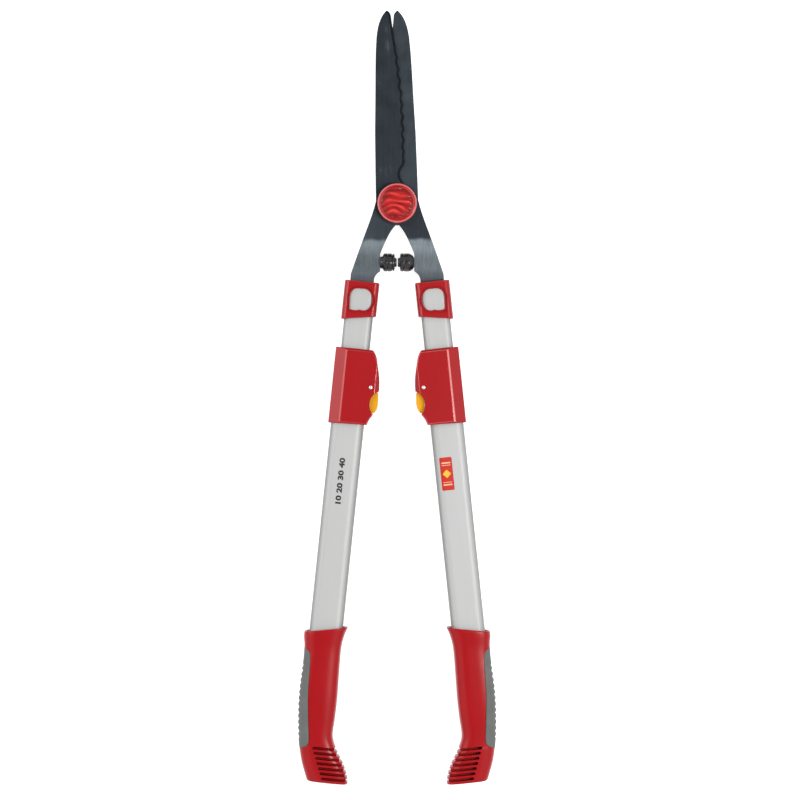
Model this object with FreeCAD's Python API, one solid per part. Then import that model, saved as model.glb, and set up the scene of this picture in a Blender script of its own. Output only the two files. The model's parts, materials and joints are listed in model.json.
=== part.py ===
"""Telescopic hedge shears, lying flat with the blade tips towards +Y and the knob up.

Everything is first drawn about the blade pivot, with Z = 0 in the mid-plane of the tubes.
place() then moves it so that the origin is the bottom centre of the whole object's box.
A handle is drawn in its own frame: X runs down the handle (u), Y points at the other handle
(v) and Z is up. The left handle is turned into place and the right one is its mirror image.
"""
import FreeCAD, Part
import math
import os

from FreeCAD import Vector

# ---- driving dimensions, millimetres and degrees ----
HANDLE_TOE = 5.94            # each handle leans out from the middle by this angle
HANDLE_X = 26.7              # where the handle's centre line crosses the pivot's height
BLADE_TILT = 1.5             # the closed blades lean this far from the handles' middle line
BLADE_LENGTH = 193.5         # pivot to tip
BLADE_THICK = 3.5
BEVEL_WIDE, BEVEL_DEEP = 2.4, 1.6      # ground edge, across the face and into it
BLADE_GAP = 0.6              # bearing washer between the blades
HUB_R = 21.3
TANG_HALF = 12.0             # half width of a tang in its tube
TANG_END = 128.0             # how far down the handle a tang reaches
CRANK_TOP, CRANK_END = -42.0, -68.0   # Y range in which a tang bends back to the middle
BOLT_R = 4.0
BUSH_R = 6.0
RUN_CLEARANCE = 0.05         # radial, on turning fits
SLIDE_GAP = 0.3              # between sliding tubes and bushes
KNOB_R = 19.7
KNOB_TOP = 21.5
BUMPER_Y = -58.5
BUMPER_R = 9.2

INNER_W, INNER_D, INNER_WALL = 28.6, 19.0, 1.2    # inner tube: width, depth, wall
OUTER_W, OUTER_D, OUTER_WALL = 33.1, 23.6, 1.2    # outer tube
SECTION_ROUND = 0.32         # the tubes' corner radius as a share of their depth
INNER_FROM, INNER_TO = 80.2, 468.0
OUTER_FROM, OUTER_TO = 150.5, 516.0
TRAVEL = 225.0               # the outer tube slides this far down the inner tube
LATCH_STEPS = 6              # latch positions past the closed one, evenly spaced

COLLAR_FROM, COLLAR_OUT_TO, COLLAR_IN_TO = 78.2, 117.5, 112.0
COLLAR_HALF, COLLAR_DEPTH = 17.3, 25.4
WINDOW_U, WINDOW_V = 96.3, 0.5
WINDOW_STEP, WINDOW_SINK = 1.22, 2.0    # the window's outer step: share of its size, depth
TANG_PIN_U = 110.6

HOUSING_FROM, HOUSING_TO = 145.5, 221.0
HOUSING_OUT, HOUSING_HALF_DEPTH = 19.3, 16.0
CREASE_V, CREASE_DROP, CREASE_ROUND = -8.0, 5.0, 6.0    # flank's top, its fall, its radius
HOUSING_SKIN = 1.4           # wall left over the lever's pocket
PIN_U, PIN_V = 182.5, 19.4   # lock lever's pivot pin
PIN_R = 1.25
TOOTH_U = 164.5
TOOTH_R = 2.2
TOOTH_TIP_V, TOOTH_TOP_V = 13.0, 20.0
TOOTH_SLOT = 5.2, 4.4, 3.4   # the outer tube's slot: up from the tooth, down, half width
LEVER_HALF = 10.4            # half width of the lock lever along its pin
BUTTON_U, BUTTON_V, BUTTON_R = 198.6, 34.0, 14.3   # round cut that bares the lever's button
SCREW_SPOTS = ((156.8, 20.0), (214.6, 18.8))
SCREW_HEAD_R = 1.9
MOULD_ROUND = 1.0            # radius on the moulded parts' outer rims

GRIP_DEPTH = 32.0
GRIP_IN_FROM, GRIP_OUT_FROM = 423.0, 431.5
INLAY_FROM, INLAY_TO = 448.0, 547.0
INLAY_THICK = 1.5
SLOT_FIRST, SLOT_PITCH, SLOT_COUNT = 545.2, 4.95, 7
SLOT_WIDE, SLOT_WEB = 2.3, 9.0

Z = Vector(0, 0, 1)
BLADE_LOW = BLADE_GAP / 2
BLADE_HIGH = BLADE_LOW + BLADE_THICK


# ---- small drawing helpers ----
def point(pair, z=0.0):
    """A 2-D pair as a point at height z."""
    return Vector(pair[0], pair[1], z)


def line(a, b):
    return Part.LineSegment(point(a), point(b)).toShape()


def curve(points):
    """A smooth open curve through a few points."""
    spline = Part.BSplineCurve()
    spline.interpolate([point(p) for p in points])
    return spline.toShape()


def arc(a, middle, b):
    return Part.Arc(point(a), point(middle), point(b)).toShape()


def plate(edges, low, high):
    """A closed outline in the XY plane, as a solid from height low to high."""
    face = Part.Face(Part.Wire(Part.__sortEdges__(edges)))
    solid = face.extrude(Vector(0, 0, high - low))
    return solid.translated(Vector(0, 0, low))


def polygon(points, low, high):
    closed = list(points) + [points[0]]
    return plate([line(a, b) for a, b in zip(closed, closed[1:])], low, high)


def block(x0, x1, y0, y1, z0, z1):
    return Part.makeBox(x1 - x0, y1 - y0, z1 - z0, Vector(x0, y0, z0))


def post(radius, x, y, z0, z1):
    return Part.makeCylinder(radius, z1 - z0, Vector(x, y, z0), Z)


def along_u(section, u0, u1):
    """A section drawn with X as v and Y as height, as a bar from u0 to u1."""
    bar = section.copy()
    bar.rotate(Vector(0, 0, 0), Vector(1, 1, 1), 120)
    bar.translate(Vector(u0, 0, 0))
    return bar.extrude(Vector(u1 - u0, 0, 0))


def rounded(v0, v1, half_depth, radius):
    """A rectangle with round corners, as a face for along_u."""
    box = Part.Face(Part.makePolygon([
        Vector(v0, -half_depth, 0), Vector(v1, -half_depth, 0),
        Vector(v1, half_depth, 0), Vector(v0, half_depth, 0), Vector(v0, -half_depth, 0)]))
    solid = box.extrude(Z)
    upright = [e for e in solid.Edges if abs(e.tangentAt(e.FirstParameter).z) > 0.9]
    solid = solid.makeFillet(radius, upright)
    return [f for f in solid.Faces if f.CenterOfMass.z < 1e-6][0]


def oval_bar(width, depth, u0, u1):
    """A bar of the tubes' section, a rectangle with well rounded corners."""
    section = rounded(-width / 2, width / 2, depth / 2, SECTION_ROUND * depth)
    return along_u(section, u0, u1)


def oval_tube(width, depth, wall, u0, u1):
    bore = oval_bar(width - 2 * wall, depth - 2 * wall, u0 - 1, u1 + 1)
    return oval_bar(width, depth, u0, u1).cut(bore)


def turned(points, base, axis):
    """A solid of revolution from (radius, height) points about an axis through base."""
    ring = [Vector(r, 0, h) for r, h in points]
    face = Part.Face(Part.makePolygon(ring + [ring[0]]))
    solid = face.revolve(Vector(0, 0, 0), Z, 360)
    solid.Placement = FreeCAD.Placement(base, FreeCAD.Rotation(Z, axis))
    return solid


# ---- blades, each forged in one piece with its tang ----
def cutting_edge():
    """The front blade's wavy cutting edge in the blade's own frame, from the tip down."""
    wave_top, wave_low, pitch = 158.0, 44.0, 12.0
    steps = 58
    points = []
    for i in range(steps + 1):
        y = wave_top + (wave_low - wave_top) * i / steps
        belly = 8.4 - 5.9 * max(0.0, (y - 84.0) / (wave_top - 84.0)) ** 1.5
        fade = min(1.0, (wave_top - y) / pitch, (y - wave_low) / pitch)
        points.append((belly + 0.7 * fade * math.sin(2 * math.pi * y / pitch), y))
    return points


def blade_outline():
    """The front blade in its own frame: back to the left, cutting edge to the right."""
    wave = cutting_edge()
    back = [(-21.1, 1.5), (-21.0, 20.0), (-20.7, 44.0), (-20.2, 74.0), (-18.9, 110.0),
            (-17.9, 142.0), (-16.4, 166.0)]
    shoulder = [back[-1], (-13.6, 180.0), (-9.6, 188.6), (-5.4, BLADE_LENGTH)]
    tip_side = [(-5.4, BLADE_LENGTH), (-2.2, 190.5), (-1.0, 184.0), (0.6, 172.0), wave[0]]
    notch = [wave[-1], (7.2, 38.0), (3.4, 31.0), (6.0, 22.0), (14.0, 14.0)]
    base = [(14.0, 14.0), (0.0, 0.0), back[0]]
    return [curve(back), curve(shoulder), curve(tip_side), curve(wave), curve(notch),
            line(base[0], base[1]), line(base[1], base[2])]


def handle_point(u, v, side=1):
    """A point of a handle's frame in the whole tool's frame. side is 1 right, -1 left."""
    toe = math.radians(HANDLE_TOE)
    x = HANDLE_X + u * math.sin(toe) - v * math.cos(toe)
    y = -u * math.cos(toe) - v * math.sin(toe)
    return (side * x, y)


def tang_outline():
    """The right tang seen from above, from the hub out to its end in the tube."""
    outer = [(21.3, 3.0), (23.1, -4.0), (31.5, -28.0), (40.2, -52.0), (46.4, -70.0)]
    outer_in = handle_point(84, -TANG_HALF)
    outer_end = handle_point(TANG_END, -TANG_HALF)
    inner_end = handle_point(TANG_END, TANG_HALF)
    inner_in = handle_point(80, TANG_HALF)
    crotch = [(17.0, -50.0), (15.0, -45.0), (11.0, -36.0), (6.8, -28.0), (0.6, -20.2)]
    hip = [inner_in, (21.8, -72.0), (17.0, -67.4)]
    return [curve(outer), line(outer[-1], outer_in), line(outer_in, outer_end),
            line(outer_end, inner_end), line(inner_end, inner_in), curve(hip),
            line(hip[-1], crotch[0]), curve(crotch), line(crotch[-1], (0, 0)),
            line((0, 0), outer[0])]


def crank_strip():
    """The blades' side view: flat over the pivot, then stepped back to the middle."""
    far, low, high = 260.0, BLADE_LOW, BLADE_HIGH
    half = BLADE_THICK / 2
    side = [(far, low), (CRANK_TOP, low), (CRANK_END, -half), (-far, -half),
            (-far, half), (CRANK_END, half), (CRANK_TOP, high), (far, high)]
    ring = [Vector(-80, y, z) for y, z in side]
    return Part.Face(Part.makePolygon(ring + [ring[0]])).extrude(Vector(160, 0, 0))


def tenon():
    """The stub on the right tang that the bumper is pushed onto, with its barb."""
    stem = block(8.0, 18.0, BUMPER_Y - 3.0, BUMPER_Y + 3.0, -9.0, 9.0)
    barb = block(8.0, 10.5, BUMPER_Y - 4.2, BUMPER_Y + 4.2, -9.0, 9.0)
    return stem.fuse(barb)


def blade_and_tang(hand):
    """hand is 1 for the front blade, whose tang runs to the right, and -1 for the rear."""
    tall = 12.0
    blade = plate(blade_outline(), -tall, tall)
    if hand < 0:
        blade = blade.mirror(Vector(0, 0, 0), Vector(1, 0, 0))
    blade.rotate(Vector(0, 0, 0), Z, BLADE_TILT)
    tang = plate(tang_outline(), -tall, tall).fuse(tenon())
    strip = crank_strip()
    if hand < 0:
        tang = tang.mirror(Vector(0, 0, 0), Vector(1, 0, 0))
        strip = strip.mirror(Vector(0, 0, 0), Z)
    plan = blade.fuse([tang, post(HUB_R, 0, 0, -tall, tall)])
    return plan.common(strip).removeSplitter()


def grind(forging, hand):
    """Grind the cutting edge on the blade's outer face to a bevel."""
    face_z = hand * BLADE_HIGH
    edges = []
    for edge in forging.Edges:
        middle = edge.valueAt((edge.FirstParameter + edge.LastParameter) / 2)
        inward = hand * middle.x > 2.0
        if abs(middle.z - face_z) < 1e-4 and 100 < edge.Length < 130 and inward:
            edges.append(edge)
    return forging.makeChamfer(BEVEL_WIDE, BEVEL_DEEP, edges)


def front_blade():
    return grind(blade_and_tang(1), 1).cut(post(BUSH_R, 0, 0, -1, 9))


def rear_blade():
    half = BOLT_R
    return grind(blade_and_tang(-1), -1).cut(block(-half, half, -half, half, -9, 1))


# ---- pivot ----
def pivot_bush():
    return post(BUSH_R, 0, 0, BLADE_LOW, BLADE_HIGH).cut(
        post(BOLT_R + RUN_CLEARANCE, 0, 0, -1, 9))


def blade_washer():
    return post(17.0, 0, 0, -BLADE_LOW, BLADE_LOW).cut(post(BOLT_R, 0, 0, -1, 1))


def pivot_bolt():
    head = turned([(0, -7.4), (5.0, -7.1), (9.0, -5.6), (9.5, -BLADE_HIGH), (0, -BLADE_HIGH)],
                  Vector(0, 0, 0), Z)
    neck = block(-BOLT_R, BOLT_R, -BOLT_R, BOLT_R, -BLADE_HIGH, -BLADE_LOW)
    shank = post(BOLT_R, 0, 0, -BLADE_LOW, 15.0)
    return head.fuse([neck, shank]).removeSplitter()


def thrust_washer():
    ring = post(11.0, 0, 0, BLADE_HIGH, BLADE_HIGH + 1.2)
    return ring.cut(post(BOLT_R, 0, 0, 0, 9))


def spring_washer():
    """A dished ring that keeps the blades pressed together."""
    low = BLADE_HIGH + 1.2
    return turned([(5.2, low + 1.1), (10.0, low), (10.0, low + 0.7), (5.2, low + 1.8)],
                  Vector(0, 0, 0), Z)


def knob_insert():
    """The threaded metal core of the knob; its thread is left plain."""
    low = BLADE_HIGH + 1.2 + 1.8 + SLIDE_GAP
    core = post(7.5, 0, 0, low, low + 1.5).fuse(post(6.2, 0, 0, low, low + 9.5))
    return core.cut(post(BOLT_R + RUN_CLEARANCE, 0, 0, 0, 30)).removeSplitter()


def knob():
    """Round adjusting knob: rim, scalloped finger ring and a low dome."""
    skirt = BLADE_HIGH + 0.6
    body = turned([(0, skirt), (KNOB_R - 0.6, skirt), (KNOB_R, skirt + 0.8),
                   (KNOB_R, KNOB_TOP - 7.5), (KNOB_R - 2.0, KNOB_TOP - 5.2),
                   (KNOB_R - 3.2, KNOB_TOP - 5.0), (KNOB_R - 4.4, KNOB_TOP - 1.2),
                   (KNOB_R - 6.0, KNOB_TOP), (9.2, KNOB_TOP - 0.3), (8.4, KNOB_TOP - 1.6),
                   (0, KNOB_TOP - 0.4)], Vector(0, 0, 0), Z)
    for i in range(8):
        turn = math.radians(45.0 * i)
        flute = Part.makeCylinder(
            3.4, 9.0, Vector(17.6 * math.cos(turn), 17.6 * math.sin(turn), KNOB_TOP - 4.9), Z)
        body = body.cut(flute)
    low = BLADE_HIGH + 1.2 + 1.8 + SLIDE_GAP
    hollow = post(12.0, 0, 0, 0, low).fuse(
        [post(7.5, 0, 0, low, low + 1.5), post(6.2, 0, 0, low, low + 9.5)])
    return body.cut(hollow)


# ---- rubber stops ----
def bumper(hand):
    """A rubber plug on its tang's tenon. The left one has a ring groove and a small foot."""
    meet = 0.35
    x = Vector(hand, 0, 0)
    if hand > 0:
        profile = [(0, meet + 0.15), (3.9, meet + 0.15), (4.6, meet + 0.7), (4.6, 2.6),
                   (8.4, 2.6), (BUMPER_R, 3.5), (BUMPER_R, 12.4), (7.0, 15.6), (4.4, 17.0),
                   (0, 17.0)]
    else:
        profile = [(0, -meet + 0.15), (3.9, -meet + 0.15), (4.6, -meet + 0.7), (4.6, 0.6),
                   (8.2, 0.6), (8.9, 1.6), (8.9, 3.0), (BUMPER_R, 3.2), (BUMPER_R, 12.6),
                   (8.6, 13.8), (7.6, 14.2), (6.4, 14.2), (5.6, 17.0), (0, 17.0)]
    plug = turned(profile, Vector(0, BUMPER_Y, 0), x)
    post_shape = tenon()
    strip = crank_strip()
    if hand < 0:
        post_shape = post_shape.mirror(Vector(0, 0, 0), Vector(1, 0, 0))
        strip = strip.mirror(Vector(0, 0, 0), Z)
    return plug.cut(post_shape.common(strip))


# ---- handle pieces, drawn in the handle's own frame ----
def inner_tube():
    tube = oval_tube(INNER_W, INNER_D, INNER_WALL, INNER_FROM, INNER_TO)
    for step in range(LATCH_STEPS + 1):
        u = TOOTH_U + TRAVEL * step / LATCH_STEPS
        hole = Part.makeBox(8.4, 12.0, 6.4, Vector(u - 4.2, 6.0, -3.2))
        tube = tube.cut(hole.makeFillet(3.1, [e for e in hole.Edges if e.BoundBox.YLength > 11]))
    return tube.cut(tang_pin())


def tang_pin():
    """The cross pin through tube, socket and tang; the collar hides its ends."""
    return post(2.5, TANG_PIN_U, 0, -INNER_D / 2, INNER_D / 2)


def tang_socket(tang):
    """A moulded filler that centres the flat tang in the oval tube."""
    width, depth = INNER_W - 2 * INNER_WALL, INNER_D - 2 * INNER_WALL
    filler = oval_bar(width, depth, INNER_FROM + 0.5, TANG_END + 4.0)
    return filler.cut(tang).cut(tang_pin())


def glide():
    """A plastic shoe on the lower end of the inner tube that runs in the outer tube."""
    bore_w, bore_d = OUTER_W - 2 * OUTER_WALL, OUTER_D - 2 * OUTER_WALL
    shoe = oval_bar(bore_w - 2 * SLIDE_GAP, bore_d - 2 * SLIDE_GAP, INNER_TO, INNER_TO + 12)
    spigot = oval_bar(INNER_W - 2 * INNER_WALL, INNER_D - 2 * INNER_WALL,
                      INNER_TO - 14, INNER_TO + 1)
    return shoe.fuse(spigot).removeSplitter()


def collar(tang):
    """The moulded collar that covers the joint of tang and tube, with its window."""
    half, depth = COLLAR_HALF, COLLAR_DEPTH / 2
    plan = polygon([(COLLAR_FROM, -half), (COLLAR_OUT_TO, -half), (COLLAR_IN_TO, half),
                    (COLLAR_FROM, half)], -depth, depth)
    skin = along_u(rounded(-half, half, depth, 5.0), COLLAR_FROM - 1, COLLAR_OUT_TO + 1)
    body = plan.common(skin)
    body = body.makeFillet(MOULD_ROUND, body.Edges)
    body = body.cut(oval_bar(INNER_W, INNER_D, INNER_FROM - 0.2, COLLAR_OUT_TO + 5))
    u, v = WINDOW_U, WINDOW_V
    outline = [(-1.0, -11.5), (-8.8, -8.6), (-10.6, 0.0), (-9.0, 7.4), (0.0, 11.5), (8.2, 8.6),
               (10.2, 0.0), (11.2, -6.5), (10.4, -10.4)]
    for grow, floor in ((1.0, 0.0), (WINDOW_STEP, depth - WINDOW_SINK)):
        ring = [(u + a * grow, v + b * grow) for a, b in outline]
        frame = [curve(ring[:3]), curve(ring[2:7]), curve(ring[6:]), line(ring[-1], ring[0])]
        body = body.cut(plate(frame, floor, depth + 1))
        body = body.cut(plate(frame, -depth - 1, -floor))
    return body.cut(tang)


def outer_tube():
    tube = oval_tube(OUTER_W, OUTER_D, OUTER_WALL, OUTER_FROM, OUTER_TO)
    slot = block(TOOTH_U - TOOTH_SLOT[0], TOOTH_U + TOOTH_SLOT[1], 10, 20,
                 -TOOTH_SLOT[2], TOOTH_SLOT[2])
    return tube.cut(slot)


def guide_bush():
    """The plastic mouth of the outer tube that the inner tube runs in."""
    bore_w, bore_d = INNER_W + 2 * SLIDE_GAP, INNER_D + 2 * SLIDE_GAP
    sleeve = oval_bar(OUTER_W - 2 * OUTER_WALL, OUTER_D - 2 * OUTER_WALL,
                      OUTER_FROM - 1, OUTER_FROM + 8.0)
    lip = oval_bar(OUTER_W, OUTER_D, OUTER_FROM - 1.6, OUTER_FROM)
    hole = oval_bar(bore_w, bore_d, OUTER_FROM - 5, OUTER_FROM + 20)
    return sleeve.fuse(lip).cut(hole).removeSplitter()


def tube_plug():
    """Closes the outer tube's lower end and stops the glide."""
    bore = oval_bar(OUTER_W - 2 * OUTER_WALL, OUTER_D - 2 * OUTER_WALL,
                    OUTER_TO - 12, OUTER_TO + 1)
    flange = oval_bar(OUTER_W, OUTER_D, OUTER_TO, OUTER_TO + 2.0)
    return bore.fuse(flange).removeSplitter()


# ---- lock housing and its lever ----
def housing_plan(low, high, inset=0.0):
    """The lock housing seen from above; inset draws it smaller on the lever's side."""
    belly = [(145.5, 17.8), (150.6, 21.4), (158.4, 23.6), (170.2, 26.4), (186.0, 27.9),
             (199.0, 28.1)]
    tail = [(199.0, 28.1), (204.0, 27.2), (210.7, 23.5), (220.2, 19.4)]
    belly = [(u, v - inset) for u, v in belly]
    tail = [(u, v - inset) for u, v in tail]
    out = -HOUSING_OUT
    return plate([line((HOUSING_FROM, out), belly[0]), curve(belly), curve(tail),
                  line(tail[-1], (HOUSING_TO + 0.6, out)),
                  line((HOUSING_TO + 0.6, out), (HOUSING_FROM, out))], low, high)


def on_crease(edge):
    """Whether an edge is one of the two along a crease's rounding, where nothing is sharp."""
    middle = edge.valueAt((edge.FirstParameter + edge.LastParameter) / 2)
    return abs(middle.y - CREASE_V) < CREASE_ROUND / 2 and edge.BoundBox.XLength > 20


def housing_block():
    """The whole housing's outer form: a crease, sloping outer flank and softened rims."""
    half = HOUSING_HALF_DEPTH
    lean = math.atan2(CREASE_DROP, HOUSING_OUT + CREASE_V)
    reach = CREASE_ROUND * math.tan(lean / 2)
    edges = []
    for up in (1, -1):
        slope_end = (CREASE_V - reach * math.cos(lean), up * (half - reach * math.sin(lean)))
        crown = (CREASE_V + reach - CREASE_ROUND * math.sin(lean / 2),
                 up * (half - CREASE_ROUND * (1 - math.cos(lean / 2))))
        flat_start = (CREASE_V + reach, up * half)
        corner = (29.0, up * (half - 4.0))
        edges += [line((-HOUSING_OUT, up * (half - CREASE_DROP)), slope_end),
                  arc(slope_end, crown, flat_start), line(flat_start, (23.5, up * half)),
                  line((23.5, up * half), corner)]
    edges += [line((29.0, half - 4.0), (29.0, 4.0 - half)),
              line((-HOUSING_OUT, half - CREASE_DROP), (-HOUSING_OUT, CREASE_DROP - half))]
    section = Part.Face(Part.Wire(Part.__sortEdges__(edges)))
    bar = along_u(section, HOUSING_FROM - 1, HOUSING_TO + 3)
    rim = 2.2
    side = [(HOUSING_FROM, -half + rim), (HOUSING_FROM + 2.0, -half), (HOUSING_TO - 2, -half),
            (HOUSING_TO + 2, -half + rim), (HOUSING_TO + 2, half - rim),
            (HOUSING_TO - 2, half), (HOUSING_FROM + 2.0, half), (HOUSING_FROM, half - rim)]
    ring = [Vector(u, -40, z) for u, z in side]
    ends = Part.Face(Part.makePolygon(ring + [ring[0]])).extrude(Vector(0, 90, 0))
    block_form = housing_plan(-half, half).common(bar).common(ends)
    return block_form.makeFillet(MOULD_ROUND, [e for e in block_form.Edges if not on_crease(e)])


def lever_room():
    """The pocket in the housing in which the lock lever rocks."""
    roof = LEVER_HALF + 0.4
    room = block(160.2, 212.4, 0, 40, -roof, roof)
    return room.common(housing_plan(-roof, roof, HOUSING_SKIN))


def housing_half(up):
    """The front half (up = 1) or rear half (up = -1) of the lock housing."""
    half = HOUSING_HALF_DEPTH
    body = housing_block()
    body = body.cut(oval_bar(OUTER_W, OUTER_D, OUTER_FROM - 1.6, HOUSING_TO + 9))
    body = body.cut(oval_bar(INNER_W + 2, INNER_D + 2, HOUSING_FROM - 2, OUTER_FROM + 2))
    body = body.cut(lever_room())
    body = body.cut(post(BUTTON_R, BUTTON_U, BUTTON_V, -half - 1, half + 1))
    body = body.cut(lever_pin())
    body = body.cut(housing_screws())
    for u, v in SCREW_SPOTS:
        body = body.cut(post(SCREW_HEAD_R + 0.2, u, v, -half - 1, -13.0))
    keep = block(HOUSING_FROM - 5, HOUSING_TO + 9, -40, 60, 0, 40 * up) if up > 0 else block(
        HOUSING_FROM - 5, HOUSING_TO + 9, -40, 60, -40, 0)
    return body.common(keep)


def housing_screws():
    """Two screws, driven in from behind, that close the housing."""
    screws = []
    for u, v in SCREW_SPOTS:
        head = post(SCREW_HEAD_R, u, v, -13.0, -11.4)
        shank = post(1.1, u, v, -11.4, 6.0)
        screws.append(head.fuse(shank).removeSplitter())
    return Part.makeCompound(screws)


def lever_pin():
    return post(PIN_R, PIN_U, PIN_V, -HOUSING_HALF_DEPTH + 0.6, HOUSING_HALF_DEPTH + 0.3)


def lock_lever():
    """The yellow rocker: button below the pin, arm with the tooth above it."""
    pad = plate([curve([(186.9, 27.0), (192.0, 27.7), (199.0, 28.1)]),
                 curve([(199.0, 28.1), (204.6, 26.9), (207.9, 24.9)]),
                 line((207.9, 24.9), (207.9, 21.0)),
                 line((207.9, 21.0), (185.0, 18.6)),
                 line((185.0, 18.6), (186.9, 27.0))], -LEVER_HALF, LEVER_HALF)
    barrel = post(2.5, PIN_U, PIN_V, -LEVER_HALF, LEVER_HALF)
    web = polygon([(181.5, 18.2), (186.0, 18.6), (186.0, 23.8), (181.5, 21.8)],
                  -LEVER_HALF, LEVER_HALF)
    arm = polygon([(162.2, 17.9), (183.0, 17.7), (183.0, 21.8), (170.0, 20.8),
                   (162.2, TOOTH_TOP_V)], -4.2, 4.2)
    seat = block(187.5, 209.0, 10, 21.9, -3.4, 3.4)
    body = barrel.fuse([web, arm, pad]).removeSplitter()
    body = body.cut(seat)
    body = body.cut(post(PIN_R + RUN_CLEARANCE, PIN_U, PIN_V, -20, 20))
    return body.cut(lock_tooth())


def lock_tooth():
    """The steel pin that drops into a hole of the inner tube."""
    return Part.makeCylinder(TOOTH_R, TOOTH_TOP_V - TOOTH_TIP_V - 0.2,
                             Vector(TOOTH_U, TOOTH_TIP_V, 0), Vector(0, 1, 0))


def lock_spring():
    """A bent leaf that rests on the outer tube and pushes the button out."""
    thick, foot = 0.4, 17.0
    path = [(189.0, foot), (194.0, foot), (207.0, 21.4)]
    back = [(u, v + thick) for u, v in reversed(path)]
    return polygon(path + back, -2.5, 2.5)


# ---- grip ----
# distance down the handle, outer side and inner side of the grip there
GRIP_SECTIONS = [(418.0, -22.0, 23.4), (431.0, -21.7, 18.8), (440.0, -20.8, 17.3),
                 (452.0, -19.4, 16.8), (470.0, -19.7, 17.4), (490.0, -20.3, 18.1),
                 (512.0, -19.3, 17.9), (529.0, -17.6, 17.3), (537.5, -16.3, 18.6),
                 (548.5, -14.1, 23.9), (560.0, -11.0, 31.2), (570.0, -7.4, 35.7),
                 (579.3, -2.8, 37.4)]


def grip_form(inset, radius):
    """The grip's outer form through its sections, drawn inset all round."""
    half = GRIP_DEPTH / 2 - inset
    rings = []
    for u, outer, inner in GRIP_SECTIONS:
        section = rounded(outer + inset, inner - inset, half, radius)
        ring = section.OuterWire
        ring.rotate(Vector(0, 0, 0), Vector(1, 1, 1), 120)
        ring.translate(Vector(u, 0, 0))
        rings.append(ring)
    return Part.makeLoft(rings, True)


def grip_block():
    """The grip's outer form with its slanting mouth."""
    top = [(400, -40), (GRIP_OUT_FROM + 3.6, -40), (GRIP_IN_FROM - 3.6, 40), (400, 40)]
    return grip_form(0.0, 6.5).cut(polygon(top, -30, 30))


def inlay_zone():
    """The part of the grip's outer side that the soft inlay covers."""
    half = GRIP_DEPTH / 2 + 1
    edge = [(INLAY_FROM, -15.4), (450.5, -12.2), (468.0, -11.8), (496.0, -10.4), (521.0, -7.4),
            (540.0, -5.0), (546.2, -6.2), (INLAY_TO, -9.0)]
    return plate([curve(edge), line(edge[-1], (INLAY_TO, -40)),
                  line((INLAY_TO, -40), (INLAY_FROM, -40)),
                  line((INLAY_FROM, -40), edge[0])], -half, half)


def inlay():
    return grip_block().common(inlay_zone()).cut(grip_form(INLAY_THICK, 5.0))


def grip():
    half = GRIP_DEPTH / 2
    body = grip_block().cut(inlay())
    body = body.cut(oval_bar(OUTER_W, OUTER_D, GRIP_IN_FROM - 5, OUTER_TO + 2.0))
    for i in range(SLOT_COUNT):
        u = SLOT_FIRST + i * SLOT_PITCH
        start = -1.6 + 11.4 * i / (SLOT_COUNT - 1)
        for low in (-half - 1, SLOT_WEB / 2):
            body = body.cut(block(u - SLOT_WIDE / 2, u + SLOT_WIDE / 2, start, 60,
                                  low, low + half + 1 - SLOT_WEB / 2))
    return body


# ---- assembly ----
def in_left(shape):
    """Turn a shape from the handle's own frame into the left handle's place."""
    moved = shape.copy()
    moved.rotate(Vector(0, 0, 0), Z, -90.0 - HANDLE_TOE)
    moved.translate(Vector(-HANDLE_X, 0, 0))
    return moved


def out_of_left(shape):
    """The reverse of in_left."""
    moved = shape.translated(Vector(HANDLE_X, 0, 0))
    moved.rotate(Vector(0, 0, 0), Z, 90.0 + HANDLE_TOE)
    return moved


def mirrored(shape):
    return shape.mirror(Vector(0, 0, 0), Vector(1, 0, 0))


def main():
    """Build every piece, move the origin to the bottom centre and write one STEP each."""
    front, rear = front_blade(), rear_blade()
    rear_tang = out_of_left(rear)
    pin = tang_pin()
    nodes = {
        "front_blade": front,
        "rear_blade": rear,
        "pivot_bush": pivot_bush(),
        "blade_washer": blade_washer(),
        "pivot_bolt": pivot_bolt(),
        "thrust_washer": thrust_washer(),
        "spring_washer": spring_washer(),
        "knob": knob(),
        "knob_insert": knob_insert(),
        "bumper_left": bumper(-1),
        "bumper_right": bumper(1),
    }
    handle = {
        "collar": collar(rear_tang),
        "tang_socket": tang_socket(rear_tang),
        "tang_pin": pin,
        "inner_tube": inner_tube(),
        "glide": glide(),
        "outer_tube": outer_tube(),
        "guide_bush": guide_bush(),
        "tube_plug": tube_plug(),
        "housing_front": housing_half(1),
        "housing_rear": housing_half(-1),
        "housing_screws": housing_screws(),
        "lever_pin": lever_pin(),
        "lock_lever": lock_lever(),
        "lock_tooth": lock_tooth(),
        "lock_spring": lock_spring(),
        "grip": grip(),
        "grip_inlay": inlay(),
    }
    for name, shape in handle.items():
        left = in_left(shape)
        nodes[name + "_left"] = left
        nodes[name + "_right"] = mirrored(left)
    nodes["rear_blade"] = rear.cut(in_left(pin))
    nodes["front_blade"] = front.cut(mirrored(in_left(pin)))

    box = Part.makeCompound(list(nodes.values())).optimalBoundingBox(False, False)
    shift = Vector(-(box.XMin + box.XMax) / 2, -(box.YMin + box.YMax) / 2, -box.ZMin)
    os.makedirs("parts", exist_ok=True)
    for name, shape in nodes.items():
        placed = shape.translated(shift)
        print(name, len(placed.Solids), "solids", placed.isValid(), round(placed.Volume, 1))
        placed.exportStep(f"parts/{name}.step")
    print("box", box)
    print("shift", shift)
    toe = math.radians(HANDLE_TOE)
    print("left handle direction", -math.sin(toe), -math.cos(toe))
    for side, label in ((-1, "left"), (1, "right")):
        x, y = handle_point(PIN_U, PIN_V, side)
        print("lever pin", label, x + shift.x, y + shift.y)


main()
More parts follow.
